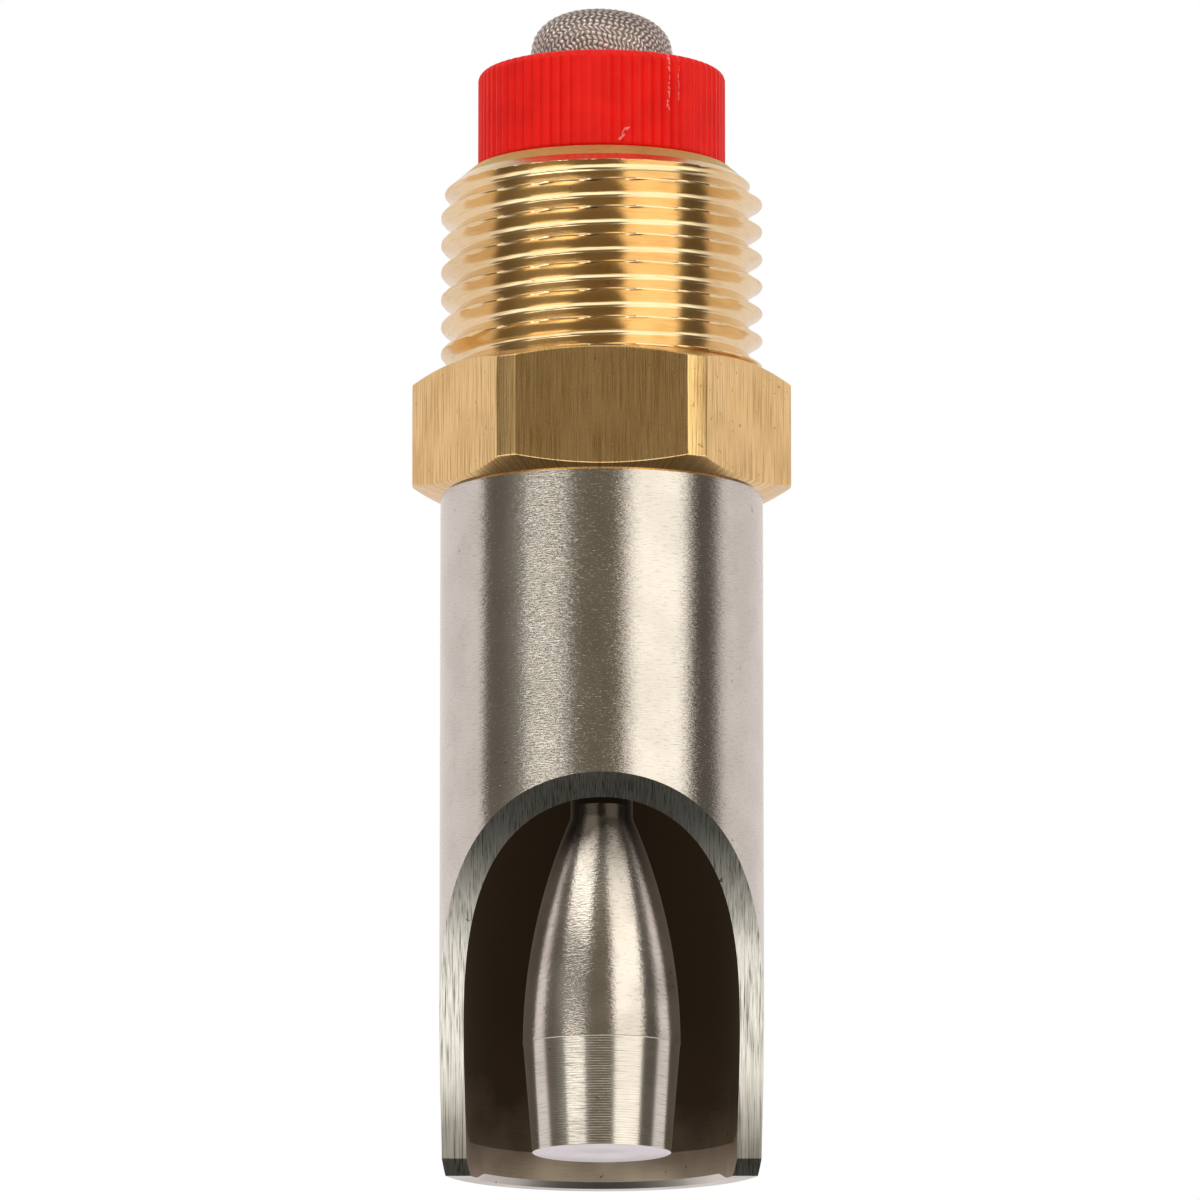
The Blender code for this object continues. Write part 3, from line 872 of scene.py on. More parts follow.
@dataclass
class BrassBody:
    """The brass body: a threaded sleeve above, and the hexagon with its spigot below."""

    crest_r: float = 10.48 * MM
    pitch: float = 1.814 * MM
    crest_flat: float = 0.12 * MM
    root_arc: float = 0.34 * MM
    flank_deg: float = 27.5
    thread_depth: float = 0.95 * MM
    thread_phase: float = 0.26
    top_r: float = 8.45 * MM
    lead_in_slope: float = 1.41 / 1.2
    rows_per_pitch: int = 22
    sleeve_below: float = 1.0 * MM
    sleeve_cols: int = 320
    lead_in_rows: int = 60
    turned_height: float = 0.75 * MM
    top_land: float = 0.03 * MM
    bore_chamfer: float = 0.2 * MM
    chamber_r: float = 7.0 * MM
    tapped_r: float = 7.72 * MM
    tapped_depth: float = 6.3 * MM
    seat_r: float = 5.6 * MM
    seat_z: float = -3.0 * MM
    flat_r: float = 11.0 * MM
    corner_r: float = 12.325 * MM
    chamfer_r: float = 10.6 * MM
    chamfer_drop: float = 0.7 * MM
    hex_height: float = 8.0 * MM
    spigot_r: float = 8.8 * MM
    spigot_chamfer: float = 0.4 * MM
    flat_cols: int = 44
    corner_cols: int = 7
    broken_edge: float = 0.09 * MM

    def thread_radius(self, angle: np.ndarray, height: np.ndarray) -> np.ndarray:
        """Radius of the thread at an angle and a height.

        With t the distance along the axis to the nearest crest, the radius is the crest's over half the
        crest flat, then falls along the flank by t over the tangent of the flank angle, and is eased into
        the root by a soft minimum, which is the root arc. The crest climbs one pitch a turn.

        Args:
            angle: angles from +X, in radians.
            height: heights, in metres.

        Returns:
            The radii, in metres.
        """
        turns = height / self.pitch - angle / TURN - self.thread_phase
        t = np.abs(turns - np.round(turns)) * self.pitch
        fall = np.maximum(t - self.crest_flat / 2, 0.0) / math.tan(math.radians(self.flank_deg))
        soft = self.root_arc
        eased = self.thread_depth - soft * np.logaddexp(0.0, (self.thread_depth - fall) / soft)
        start = self.thread_depth - soft * np.logaddexp(0.0, self.thread_depth / soft)
        return self.crest_r - np.maximum(eased - start, 0.0)

    def build_sleeve(
        self, top_z: float, metal: bpy.types.Material, turned: bpy.types.Material
    ) -> bpy.types.Object:
        """Builds the threaded sleeve: the lesser of the thread's radius and the lead-in cone's.

        Args:
            top_z: height of the sleeve's upper face.
            metal: finish of the thread.
            turned: finish of the lead-in cone.

        Returns:
            The sleeve.
        """
        angle = np.arange(self.sleeve_cols) / self.sleeve_cols * TURN
        step = self.pitch / self.rows_per_pitch
        cone_z = top_z - (self.crest_r - self.top_r) / self.lead_in_slope
        straight = np.arange(-self.sleeve_below, cone_z, step)
        tapered = np.linspace(cone_z, top_z - self.top_land, self.lead_in_rows)
        heights = np.concatenate([straight, tapered])[::-1]
        cone = self.top_r + (top_z - heights) * self.lead_in_slope
        thread = self.thread_radius(angle[None, :], heights[:, None])
        outer = np.minimum(thread, cone[:, None])
        inner = np.array(
            [
                [self.chamber_r, heights[-1]],
                [self.chamber_r, top_z - self.tapped_depth],
                [self.tapped_r, top_z - self.tapped_depth],
                [self.tapped_r, top_z - self.bore_chamfer],
                [self.tapped_r + self.bore_chamfer, top_z],
                [self.top_r - self.top_land, top_z],
            ]
        )
        outside = polar(outer, angle[None, :], heights[:, None])
        points = np.concatenate([outside, turned_grid(inner, self.sleeve_cols)])
        turned_rows = int(np.argmin(np.abs(heights - (top_z - self.turned_height))))
        bands = (Band(0, 1), Band(turned_rows, 0))
        uv = profile_uv(points, True)
        sleeve = grid_object("brass_thread", points, uv, [metal, turned], bands, True, sharp_deg=35.0)
        set_uv_to_height(sleeve)
        return sleeve

    def build_hexagon(self, spigot_z: float, flats: bpy.types.Material) -> bpy.types.Object:
        """Builds the hexagon and spigot as one ring.

        Across a flat the radius is the flat's over the cosine of the angle from its normal, and at a
        corner it is held to the turned corner's. The chamfer's drop grows with the radius past the
        chamfer circle, which gives each flat its curved upper and lower edge.

        Args:
            spigot_z: height of the spigot's lower end.
            flats: finish of the hexagon.

        Returns:
            The hexagon.
        """
        band = math.pi / 6 - math.acos(self.flat_r / self.corner_r)
        corner = np.linspace(-band, band, self.corner_cols)
        flat = np.linspace(band, math.pi / 3 - band, self.flat_cols)[1:-1]
        sector = np.concatenate([corner, flat])
        angle = np.concatenate([sector + k * math.pi / 3 for k in range(6)])
        cols = len(angle)
        from_normal = (angle % (math.pi / 3)) - math.pi / 6
        radius = np.minimum(self.flat_r / np.cos(from_normal), self.corner_r)
        drop = (radius - self.chamfer_r) * self.chamfer_drop / (self.corner_r - self.chamfer_r)
        level = np.ones(cols)
        rows = [
            (self.chamber_r * level, 0 * level),
            (self.chamfer_r * level, 0 * level),
            (radius, -drop),
            (radius, drop - self.hex_height),
            (self.chamfer_r * level, -self.hex_height * level),
            (self.spigot_r * level, -self.hex_height * level),
            (self.spigot_r * level, (spigot_z + self.spigot_chamfer) * level),
            ((self.spigot_r - self.spigot_chamfer) * level, spigot_z * level),
            (self.seat_r * level, spigot_z * level),
            (self.seat_r * level, self.seat_z * level),
            (self.chamber_r * level, self.seat_z * level),
        ]
        radii, heights = (np.stack(values) for values in zip(*rows))
        points = polar(radii, angle[None, :], heights)
        hexagon = grid_object("brass_hexagon", points, profile_uv(points, True), [flats], wrap_rows=True)
        set_uv_to_height(hexagon)
        return soften_edges(hexagon, self.broken_edge, 15.0)


@dataclass
class ShieldTube:
    """The stainless tube, with its mouth cut by a cylinder across it and a bevel at each lower corner."""

    wall: float = 1.56 * MM
    mouth_r: float = 35.0 * MM
    mouth_behind: float = 1.9 * MM
    mouth_below: float = 2.5 * MM
    corner_bevel: float = 0.92 * MM
    rim_chamfer: float = 0.4 * MM
    mouth_cols: int = 120
    facet_cols: int = 6
    back_cols: int = 70
    wall_rows: int = 14
    cut_rows: int = 5
    corner_tries: int = 20001
    chamfer_start: float = 0.62
    chamfer_growth: float = 0.05
    least_step: float = 0.004 * MM
    broken_edge: float = 0.09 * MM

    def axis_y(self) -> float:
        """Place along Y of the axis of the cylinder that cuts the mouth."""
        return self.mouth_behind - math.sqrt(self.mouth_r**2 - self.mouth_below**2)

    def corner_y(self) -> float:
        """Finds where the mouth's arch meets the bevel's plane: the nearest of many places tried.

        Returns:
            The place along Y, in metres.
        """
        depth = np.linspace(0.0, self.mouth_behind, self.corner_tries)
        arch = np.sqrt(self.mouth_r**2 - (depth - self.axis_y()) ** 2) - self.mouth_below
        plane = self.mouth_behind + self.corner_bevel - depth
        return float(depth[np.argmin(np.abs(arch - plane))])

    def edge_height(self, depth: np.ndarray, end_z: float) -> np.ndarray:
        """Height of the tube's lower edge at a depth along Y.

        It is the highest of three: the rim, the bevel's plane, which falls one for one with depth, and
        the mouth's cylinder, whose height over its axis is the root of its radius squared less the
        distance from its axis squared. The cylinder counts only in front of where it meets the rim.

        Args:
            depth: places along Y, in metres.
            end_z: height of the rim.

        Returns:
            The heights, in metres.
        """
        lift = np.sqrt(np.maximum(self.mouth_r**2 - (depth - self.axis_y()) ** 2, 0.0))
        arch = lift + end_z - self.mouth_below
        plane = end_z + self.mouth_behind + self.corner_bevel - depth
        arch = np.where(depth < self.mouth_behind, arch, end_z)
        return np.maximum(np.maximum(arch, plane), end_z)

    def half_angles(self, radius: float, corner_y: float) -> np.ndarray:
        """Spreads columns from the front round to the back, with one on each of the lower edge's corners.

        Args:
            radius: the wall's radius.
            corner_y: place along Y where the mouth's arch meets the bevel's plane.

        Returns:
            Angles from the front, in radians.
        """
        corners = [math.acos(-y / radius) for y in (corner_y, self.mouth_behind + self.corner_bevel)]
        stops = [0.0, *corners, math.pi]
        counts = (self.mouth_cols, self.facet_cols, self.back_cols)
        runs = [np.linspace(a, b, n, endpoint=False) for a, b, n in zip(stops, stops[1:], counts)]
        return np.concatenate([*runs, [math.pi]])

    def build(self, low: Vector, high: Vector, finishes: list[bpy.types.Material]) -> bpy.types.Object:
        """Builds the tube: outer wall, cut face, inner wall and upper rim, as one closed ring.

        A column joins an outer and an inner point that lie at like shares of the way from the front to
        each corner, so that the cut face's corners run straight through the wall.

        Args:
            low: lowest corner of the tube's box.
            high: highest corner of the tube's box.
            finishes: outer wall, cut face and inner wall.

        Returns:
            The tube.
        """
        outer_r = high.x
        inner_r = outer_r - self.wall
        half_out = self.half_angles(outer_r, self.corner_y())
        half_in = self.half_angles(inner_r, self.corner_y())
        out_angle = np.concatenate([half_out, -half_out[-2:0:-1]])
        in_angle = np.concatenate([half_in, -half_in[-2:0:-1]])
        from_start = np.abs(out_angle) - self.chamfer_start * math.pi
        back = np.clip(from_start / (self.chamfer_growth * math.pi), 0.0, 1.0)
        chamfer = self.rim_chamfer * back * back * (3 - 2 * back)
        outside = np.stack([outer_r * np.sin(out_angle), -outer_r * np.cos(out_angle)], axis=-1)
        inside = np.stack([inner_r * np.sin(in_angle), -inner_r * np.cos(in_angle)], axis=-1)
        edge_out = self.edge_height(outside[:, 1], low.z)
        edge_in = self.edge_height(inside[:, 1], low.z)
        rows = []
        for share in np.linspace(0.0, 1.0, self.wall_rows):
            rows.append(np.column_stack([outside, high.z + (edge_out - high.z) * share]))
        reach = 1.0 - chamfer / self.wall
        for share in np.linspace(0.0, 1.0, self.cut_rows + 1)[1:]:
            plan = outside + (inside - outside) * (share * reach)[:, None]
            rows.append(np.column_stack([plan, self.edge_height(plan[:, 1], low.z)]))
        for share in np.linspace(0.0, 1.0, self.wall_rows):
            start = edge_in + np.maximum(chamfer, self.least_step)
            rows.append(np.column_stack([inside, start + (high.z - start) * share]))
        points = np.stack(rows)
        bands = (Band(0, 0), Band(self.wall_rows - 1, 1), Band(self.wall_rows + self.cut_rows, 2))
        uv = self.map_surface(points, out_angle, outer_r)
        tube = grid_object("shield_tube_fine", points, uv, finishes, bands, True, sharp_deg=25.0)
        return soften_edges(tube, self.broken_edge, 35.0)

    @staticmethod
    def map_surface(points: np.ndarray, angle: np.ndarray, radius: float) -> np.ndarray:
        """Maps u to the girth from the front and v to the height, less the way across the wall.

        Args:
            points: rows by columns by 3.
            angle: each column's angle from the front.
            radius: the radius whose girth u follows.

        Returns:
            The map that grid_object takes, in millimetres.
        """
        around = np.unwrap(np.concatenate([angle, [TURN]])) * radius
        closed = np.concatenate([points, points[:1]])
        closed = np.concatenate([closed, closed[:, :1]], axis=1)
        across = np.hypot(closed[..., 0], closed[..., 1])
        u = np.broadcast_to(around[None, :], across.shape) + across
        return np.stack([u, closed[..., 2] - 0.3 * across], axis=-1) / MM


@dataclass
class PaintedShadeCard:
    """A painted shade: a dark curved sheet that glows faintly, seen by mirrored rays alone, round the back of
    the pin.

    It stands within the shield's wall and takes its place in what bright metal mirrors, as a painted
    reflection of the shade in the shield. Its lower edge follows the shield's at the back and rises well over
    the mouth in front.
    So the pin's sides mirror this painted dark in place of the shield, and its nose mirrors the studio, which
    the shield would hide from it.
    """

    inset: float = 0.7 * MM
    front_z: float = -13.0 * MM
    clearance: float = 0.5 * MM
    top_z: float = -9.0 * MM
    open_deg: float = 82.0
    turn_deg: float = 12.0
    # painted shade: the dim light the card gives off, shown by bright metal in place of the shield's shade
    glow: Color = (0.110, 0.090, 0.070)
    cols: int = 144

    def build(self, shield: ShieldTube, outer_r: float, low_z: float) -> bpy.types.Object:
        """Builds the card. Its lower edge goes from the front's height to the back's by a smooth step.

        Args:
            shield: the shield whose edge the card stays above.
            outer_r: the shield's outer radius.
            low_z: height of the shield's lower rim.

        Returns:
            The card.
        """
        angle = np.linspace(0.0, TURN, self.cols, endpoint=False)
        from_front = np.degrees(np.abs(np.arctan2(np.sin(angle), np.cos(angle))))
        share = np.clip((from_front - self.open_deg) / self.turn_deg, 0.0, 1.0)
        edge = self.front_z + (low_z - self.front_z) * share * share * (3 - 2 * share)
        radius = outer_r - self.inset
        plan = np.stack([radius * np.sin(angle), -radius * np.cos(angle)], axis=-1)
        edge = np.maximum(edge, shield.edge_height(plan[:, 1], low_z) + self.clearance)
        rows = [np.column_stack([plan, edge]), np.column_stack([plan, np.full_like(edge, self.top_z)])]
        finish = bpy.data.materials.new("painted_shade_card")
        finish.use_nodes = True
        shader = finish.node_tree.nodes["Principled BSDF"]
        shader.inputs["Base Color"].default_value = (0.0, 0.0, 0.0, 1.0)
        shader.inputs["Specular IOR Level"].default_value = 0.0
        # painted shade: the card glows dimly, so bright metal shows this dim light in place of the shield's
        # shaded inside
        shader.inputs["Emission Color"].default_value = (*self.glow, 1.0)
        shader.inputs["Emission Strength"].default_value = 1.0
        points = np.stack(rows)
        card = grid_object("painted_shade_card", points, profile_uv(points, False), [finish], (Band(0, 0),))
        card.visible_camera = False
        card.visible_diffuse = False
        card.visible_transmission = False
        card.visible_shadow = False
        return card


@dataclass
class BitePin:
    """The bite pin: a stem, a long ogive and a cone with turning rings, down to a flat end."""

    end_r: float = 4.5 * MM
    widest_r: float = 5.087 * MM
    cone_length: float = 7.0 * MM
    ogive_r: float = 37.0 * MM
    stem_r: float = 2.0 * MM
    neck_r: float = 1.5 * MM
    neck_z: float = -1.2 * MM
    head_z: float = 0.9 * MM
    tilt_z: float = -2.1 * MM
    ring_pitch: float = 0.163 * MM
    ring_depth: float = 0.0065 * MM
    ring_step: float = 0.03 * MM
    ring_rows: int = 6
    end_bevel: float = 0.12 * MM
    pip_r: float = 0.2 * MM
    pip_depth: float = 0.03 * MM
    ogive_rows: int = 60
    cols: int = 128

    def outline(self, end_z: float, top_z: float) -> tuple[np.ndarray, int, int]:
        """Works out the outline from the rounded head to the flat end.

        The head is an arc about the tilt centre. The ogive is an arc tangent to the axis at its widest.
        The cone's radius is the straight line between its ends less a saw tooth of one ring pitch.

        Args:
            end_z: height of the flat end.
            top_z: height of the head's crown.

        Returns:
            (radius, height) rows, the row where the cone starts and the row where the flat end starts.
        """
        head_r = top_z - self.tilt_z
        head_angle = np.linspace(0.03, math.acos((self.head_z - self.tilt_z) / head_r), 8)
        head = np.column_stack([head_r * np.sin(head_angle), self.tilt_z + head_r * np.cos(head_angle)])
        neck = np.array([[self.neck_r, self.head_z], [self.neck_r, self.neck_z], [self.stem_r, self.neck_z]])
        widest_z = end_z + self.cone_length
        reach = math.sqrt(self.ogive_r**2 - (self.ogive_r - self.widest_r + self.stem_r) ** 2)
        rise = np.linspace(reach, 0.0, self.ogive_rows)
        ogive_radius = self.widest_r - self.ogive_r + np.sqrt(self.ogive_r**2 - rise**2)
        ogive = np.column_stack([ogive_radius, widest_z + rise])
        count = round(self.cone_length / self.ring_pitch)
        share = np.linspace(0.0, 1.0, count * self.ring_rows + 1)[1:]
        tooth = (share * count) % 1.0
        groove = self.ring_depth * (0.5 - 0.5 * np.cos(TURN * tooth)) + self.ring_step * (share < 1.0)
        cone_radius = self.widest_r + (self.end_r - self.widest_r) * share - groove
        cone = np.column_stack([cone_radius, widest_z - self.cone_length * share])
        cone[-1] = [self.end_r - self.end_bevel, end_z]
        pip_top = end_z + self.pip_depth
        pip = np.array([[self.pip_r, end_z], [0.6 * self.pip_r, pip_top], [0.15 * self.pip_r, pip_top]])
        rows = np.concatenate([head, neck, ogive, cone, pip])
        cone_row = len(head) + len(neck) + len(ogive)
        return rows, cone_row, cone_row + len(cone) - 1

    def build(self, low: Vector, high: Vector, finishes: list[bpy.types.Material]) -> bpy.types.Object:
        """Builds the pin.

        Args:
            low: lowest corner of the pin's box.
            high: highest corner of the pin's box.
            finishes: ogive, cone and flat end.

        Returns:
            The pin.
        """
        outline, cone_row, end_row = self.outline(low.z, high.z)
        points = turned_grid(outline, self.cols)
        bands = (Band(0, 0), Band(cone_row, 1), Band(end_row, 2))
        uv = profile_uv(points, False)
        return grid_object("bite_pin_fine", points, uv, finishes, bands, sharp_deg=40.0)


@dataclass
class RegulatorCap:
    """The red insert: a head with fine ribs, and the plain form of its shank and bore."""

    ribs: int = 72
    rib_depth: float = 0.17 * MM
    edge_r: float = 0.55 * MM
    head_z: float = 13.7 * MM
    shank_r: float = 6.85 * MM
    bore_r: float = 5.6 * MM
    hole_r: float = 4.75 * MM
    shoulder_below: float = 3.1 * MM
    hole_bevel: float = 0.2 * MM
    top_land: float = 0.3 * MM
    foot: float = 0.15 * MM
    side_rows: int = 8
    edge_rows: int = 8
    cols_per_rib: int = 9

    def build(self, low: Vector, high: Vector, finish: bpy.types.Material) -> bpy.types.Object:
        """Builds the insert as one closed ring.

        The groove between two ribs is a valley: one less the size of the sine of half the rib's angle.
        Each groove's depth differs a little by the sum of two slow waves, and fades out round the upper
        edge.

        Args:
            low: lowest corner of the insert's box.
            high: highest corner of the insert's box.
            finish: red plastic.

        Returns:
            The insert.
        """
        cols = self.ribs * self.cols_per_rib
        angle = np.arange(cols) / cols * TURN
        valley = 1.0 - np.abs(np.sin(angle * self.ribs / 2))
        wave = 1.0 + 0.25 * np.sin(5 * angle + 0.6) + 0.2 * np.sin(13 * angle + 2.0)
        head_r = high.x
        arc = np.linspace(0.0, math.pi / 2, self.edge_rows)
        edge_radius = head_r - self.edge_r * (1 - np.cos(arc))
        edge = np.column_stack([edge_radius, high.z - self.edge_r * (1 - np.sin(arc))])
        side = np.array([[head_r - self.foot, self.head_z], [head_r, self.head_z + self.foot]])
        rise = np.linspace(self.head_z + 2 * self.foot, edge[0, 1] - self.foot, self.side_rows)
        straight = np.column_stack([np.full(self.side_rows, head_r), rise])
        lead = np.array([[self.bore_r, low.z], [self.shank_r, low.z], [self.shank_r, self.head_z]])
        top = np.array(
            [
                [self.hole_r + self.top_land, high.z],
                [self.hole_r, high.z - self.hole_bevel],
                [self.hole_r, high.z - self.shoulder_below],
                [self.bore_r, high.z - self.shoulder_below],
            ]
        )
        outline = np.concatenate([lead, side, straight, edge, top])
        fade = np.zeros(len(outline))
        first, rounded = len(lead), len(lead) + len(side) + len(straight)
        fade[first:rounded] = 1.0
        fade[rounded : rounded + len(edge)] = np.cos(arc)
        radius = outline[:, :1] - self.rib_depth * fade[:, None] * (valley * wave)[None, :]
        points = polar(radius, angle[None, :], outline[:, 1:])
        uv = profile_uv(points, True)
        cap = grid_object("regulator_cap_fine", points, uv, [finish], wrap_rows=True, sharp_deg=50.0)
        set_uv_to_height(cap)
        return cap


@dataclass
class FilterScreen:
    """The woven filter: a cloth of fine wire drawn over a dome, with a plain flange below."""

    radius: float = 4.66 * MM
    inner_gap: float = 0.3 * MM
    crown_gap: float = 0.4 * MM
    dome_height: float = 3.2 * MM
    power: float = 2.5
    stroke_pitch: float = 0.43 * MM
    row_pitch: float = 0.37 * MM
    wire_lift: float = 0.09 * MM
    crown_lean: float = 0.13 * MM
    flange_r: float = 5.45 * MM
    flange_height: float = 0.3 * MM
    flange_gap: float = 0.05 * MM
    cols: int = 480
    sample: float = 0.062 * MM

    def outline(self, low: Vector, high: Vector) -> np.ndarray:
        """Works out the dome's outline at even steps along it, from the crown to the flange.

        The dome is a superellipse: sine and cosine of one angle to the power of two over power.

        Args:
            low: lowest corner of the filter's box.
            high: highest corner of the filter's box.

        Returns:
            (radius, height, distance from the crown) rows.
        """
        fine = np.linspace(0.02, math.pi / 2, 400)
        straight_z = high.z - self.dome_height
        dome_radius = self.radius * np.sin(fine) ** (2 / self.power)
        rise = (self.dome_height - self.wire_lift) * np.cos(fine) ** (2 / self.power)
        dome = np.column_stack([dome_radius, straight_z + rise])
        line = np.concatenate([dome, [[self.radius, low.z + self.flange_height + self.flange_gap]]])
        along = np.concatenate([[0.0], np.cumsum(np.linalg.norm(np.diff(line, axis=0), axis=1))])
        even = np.arange(0.0, along[-1], self.sample)
        return np.column_stack([np.interp(even, along, line[:, k]) for k in (0, 1)] + [even])

    def cloth(self, along_dome: np.ndarray, angle: np.ndarray) -> np.ndarray:
        """Height of the cloth: 1 on a wire's crown and near 0 in a gap.

        The cloth's two directions are the distance from the crown times the cosine and the sine of the
        angle, bent to and fro by slow sines, since a drawn cloth is never even. A wire is a cosine across
        it, whose phase goes to and fro with the rows, so the wires slant one way in one row and the other
        way in the next, and it dips where two rows meet.

        Args:
            along_dome: distances from the crown, one a row.
            angle: angles from +X, one a column.

        Returns:
            Rows by columns of heights.
        """
        across = along_dome[:, None] * np.cos(angle)[None, :] / self.stroke_pitch
        along = along_dome[:, None] * np.sin(angle)[None, :] / self.row_pitch
        across = across + 0.45 * np.sin(0.41 * along + 0.5) + 0.18 * np.sin(1.3 * along + 0.7 * across)
        along = along + 0.6 * np.sin(0.27 * across + 0.8) + 0.3 * np.sin(0.71 * across)
        slant = np.abs(along / 2 - np.round(along / 2)) * 2
        stroke = (0.5 + 0.5 * np.cos(TURN * (across + 0.55 * slant))) ** 0.8
        height = stroke * (0.12 + 0.88 * np.abs(np.sin(math.pi * along)) ** 0.7)
        uneven = np.sin(2.3 * across + 1.7 * along) * np.sin(1.1 * across - 2.9 * along)
        return height * (0.84 + 0.16 * uneven)

    def build(self, low: Vector, high: Vector, finish: bpy.types.Material) -> bpy.types.Object:
        """Builds the thimble: the dome's surface moved in by the cloth's height, and a plain inner wall.

        Low on the dome the wires stand out from it and on the crown they stand up. The crown leans: it
        falls a little towards +X.

        Args:
            low: lowest corner of the filter's box.
            high: highest corner of the filter's box.
            finish: woven wire.

        Returns:
            The thimble.
        """
        rows = self.outline(low, high)
        angle = np.arange(self.cols) / self.cols * TURN
        height = self.cloth(rows[:, 2], angle)
        share = np.clip((high.z - rows[:, 1:2]) / self.dome_height, 0.0, 1.0)
        lean = self.crown_lean * (1 + np.cos(angle)[None, :]) * (1 - share) * rows[:, :1] / self.radius
        radius = rows[:, :1] + self.wire_lift * (height - 1.0) * np.clip(share * 3, 0, 1)
        level = rows[:, 1:2] - lean + self.wire_lift * (height - 0.8) * (1 - share)
        outside = polar(radius, angle[None, :], level)
        inner_r = self.radius - self.inner_gap
        flange = np.array(
            [[self.flange_r, low.z + self.flange_height], [self.flange_r, low.z], [inner_r, low.z]]
        )
        shrunk = inner_r / self.radius * rows[::-6, 0]
        inside = np.column_stack([shrunk, np.maximum(rows[::-6, 1] - self.crown_gap, low.z)])
        rest = np.concatenate([flange, inside[1:]])
        points = np.concatenate([outside, turned_grid(rest, self.cols)])
        uv = profile_uv(points, False)
        screen = grid_object("filter_screen_fine", points, uv, [finish], sharp_deg=80.0)
        values = np.concatenate([height.ravel(), np.full(len(rest) * self.cols, 0.5), [0.5, 0.5]])
        layer = screen.data.attributes.new("wire_height", "FLOAT", "POINT")
        layer.data.foreach_set("value", values.astype(np.float32))
        return screen


# ------------------------------------------------------------------------------------------------- studio


@dataclass(frozen=True)
class SoftBox:
    """A soft box that faces the piece.

    azimuth is in degrees from the front towards +X and elevation in degrees above the horizon. size is
    its width and height in metres. glow is its brightness, where 1 is white. shines says whether it shows
    in bright metal, or only lights matt surfaces.
    """

    name: str
    azimuth: float
    elevation: float
    size: tuple[float, float]
    glow: float
    shines: bool = True
    reach: float = 1.0
    tint: Color = (1.0, 0.96, 0.9)

    def build(self) -> None:
        """Hangs the box at its reach from the piece. Its power is glow times pi times its area."""
        light = bpy.data.lights.new(self.name, "AREA")
        light.shape = "RECTANGLE"
        light.size, light.size_y = self.size
        light.energy = self.glow * math.pi * self.size[0] * self.size[1]
        light.color = self.tint
        box = bpy.data.objects.new(self.name, light)
        a, e = math.radians(self.azimuth), math.radians(self.elevation)
        away = Vector((math.sin(a) * math.cos(e), -math.cos(a) * math.cos(e), math.sin(e)))
        box.location = away * self.reach
        box.rotation_euler = away.to_track_quat("Z", "Y").to_euler()
        box.visible_camera = False
        box.visible_glossy = self.shines
        bpy.context.scene.collection.objects.link(box)


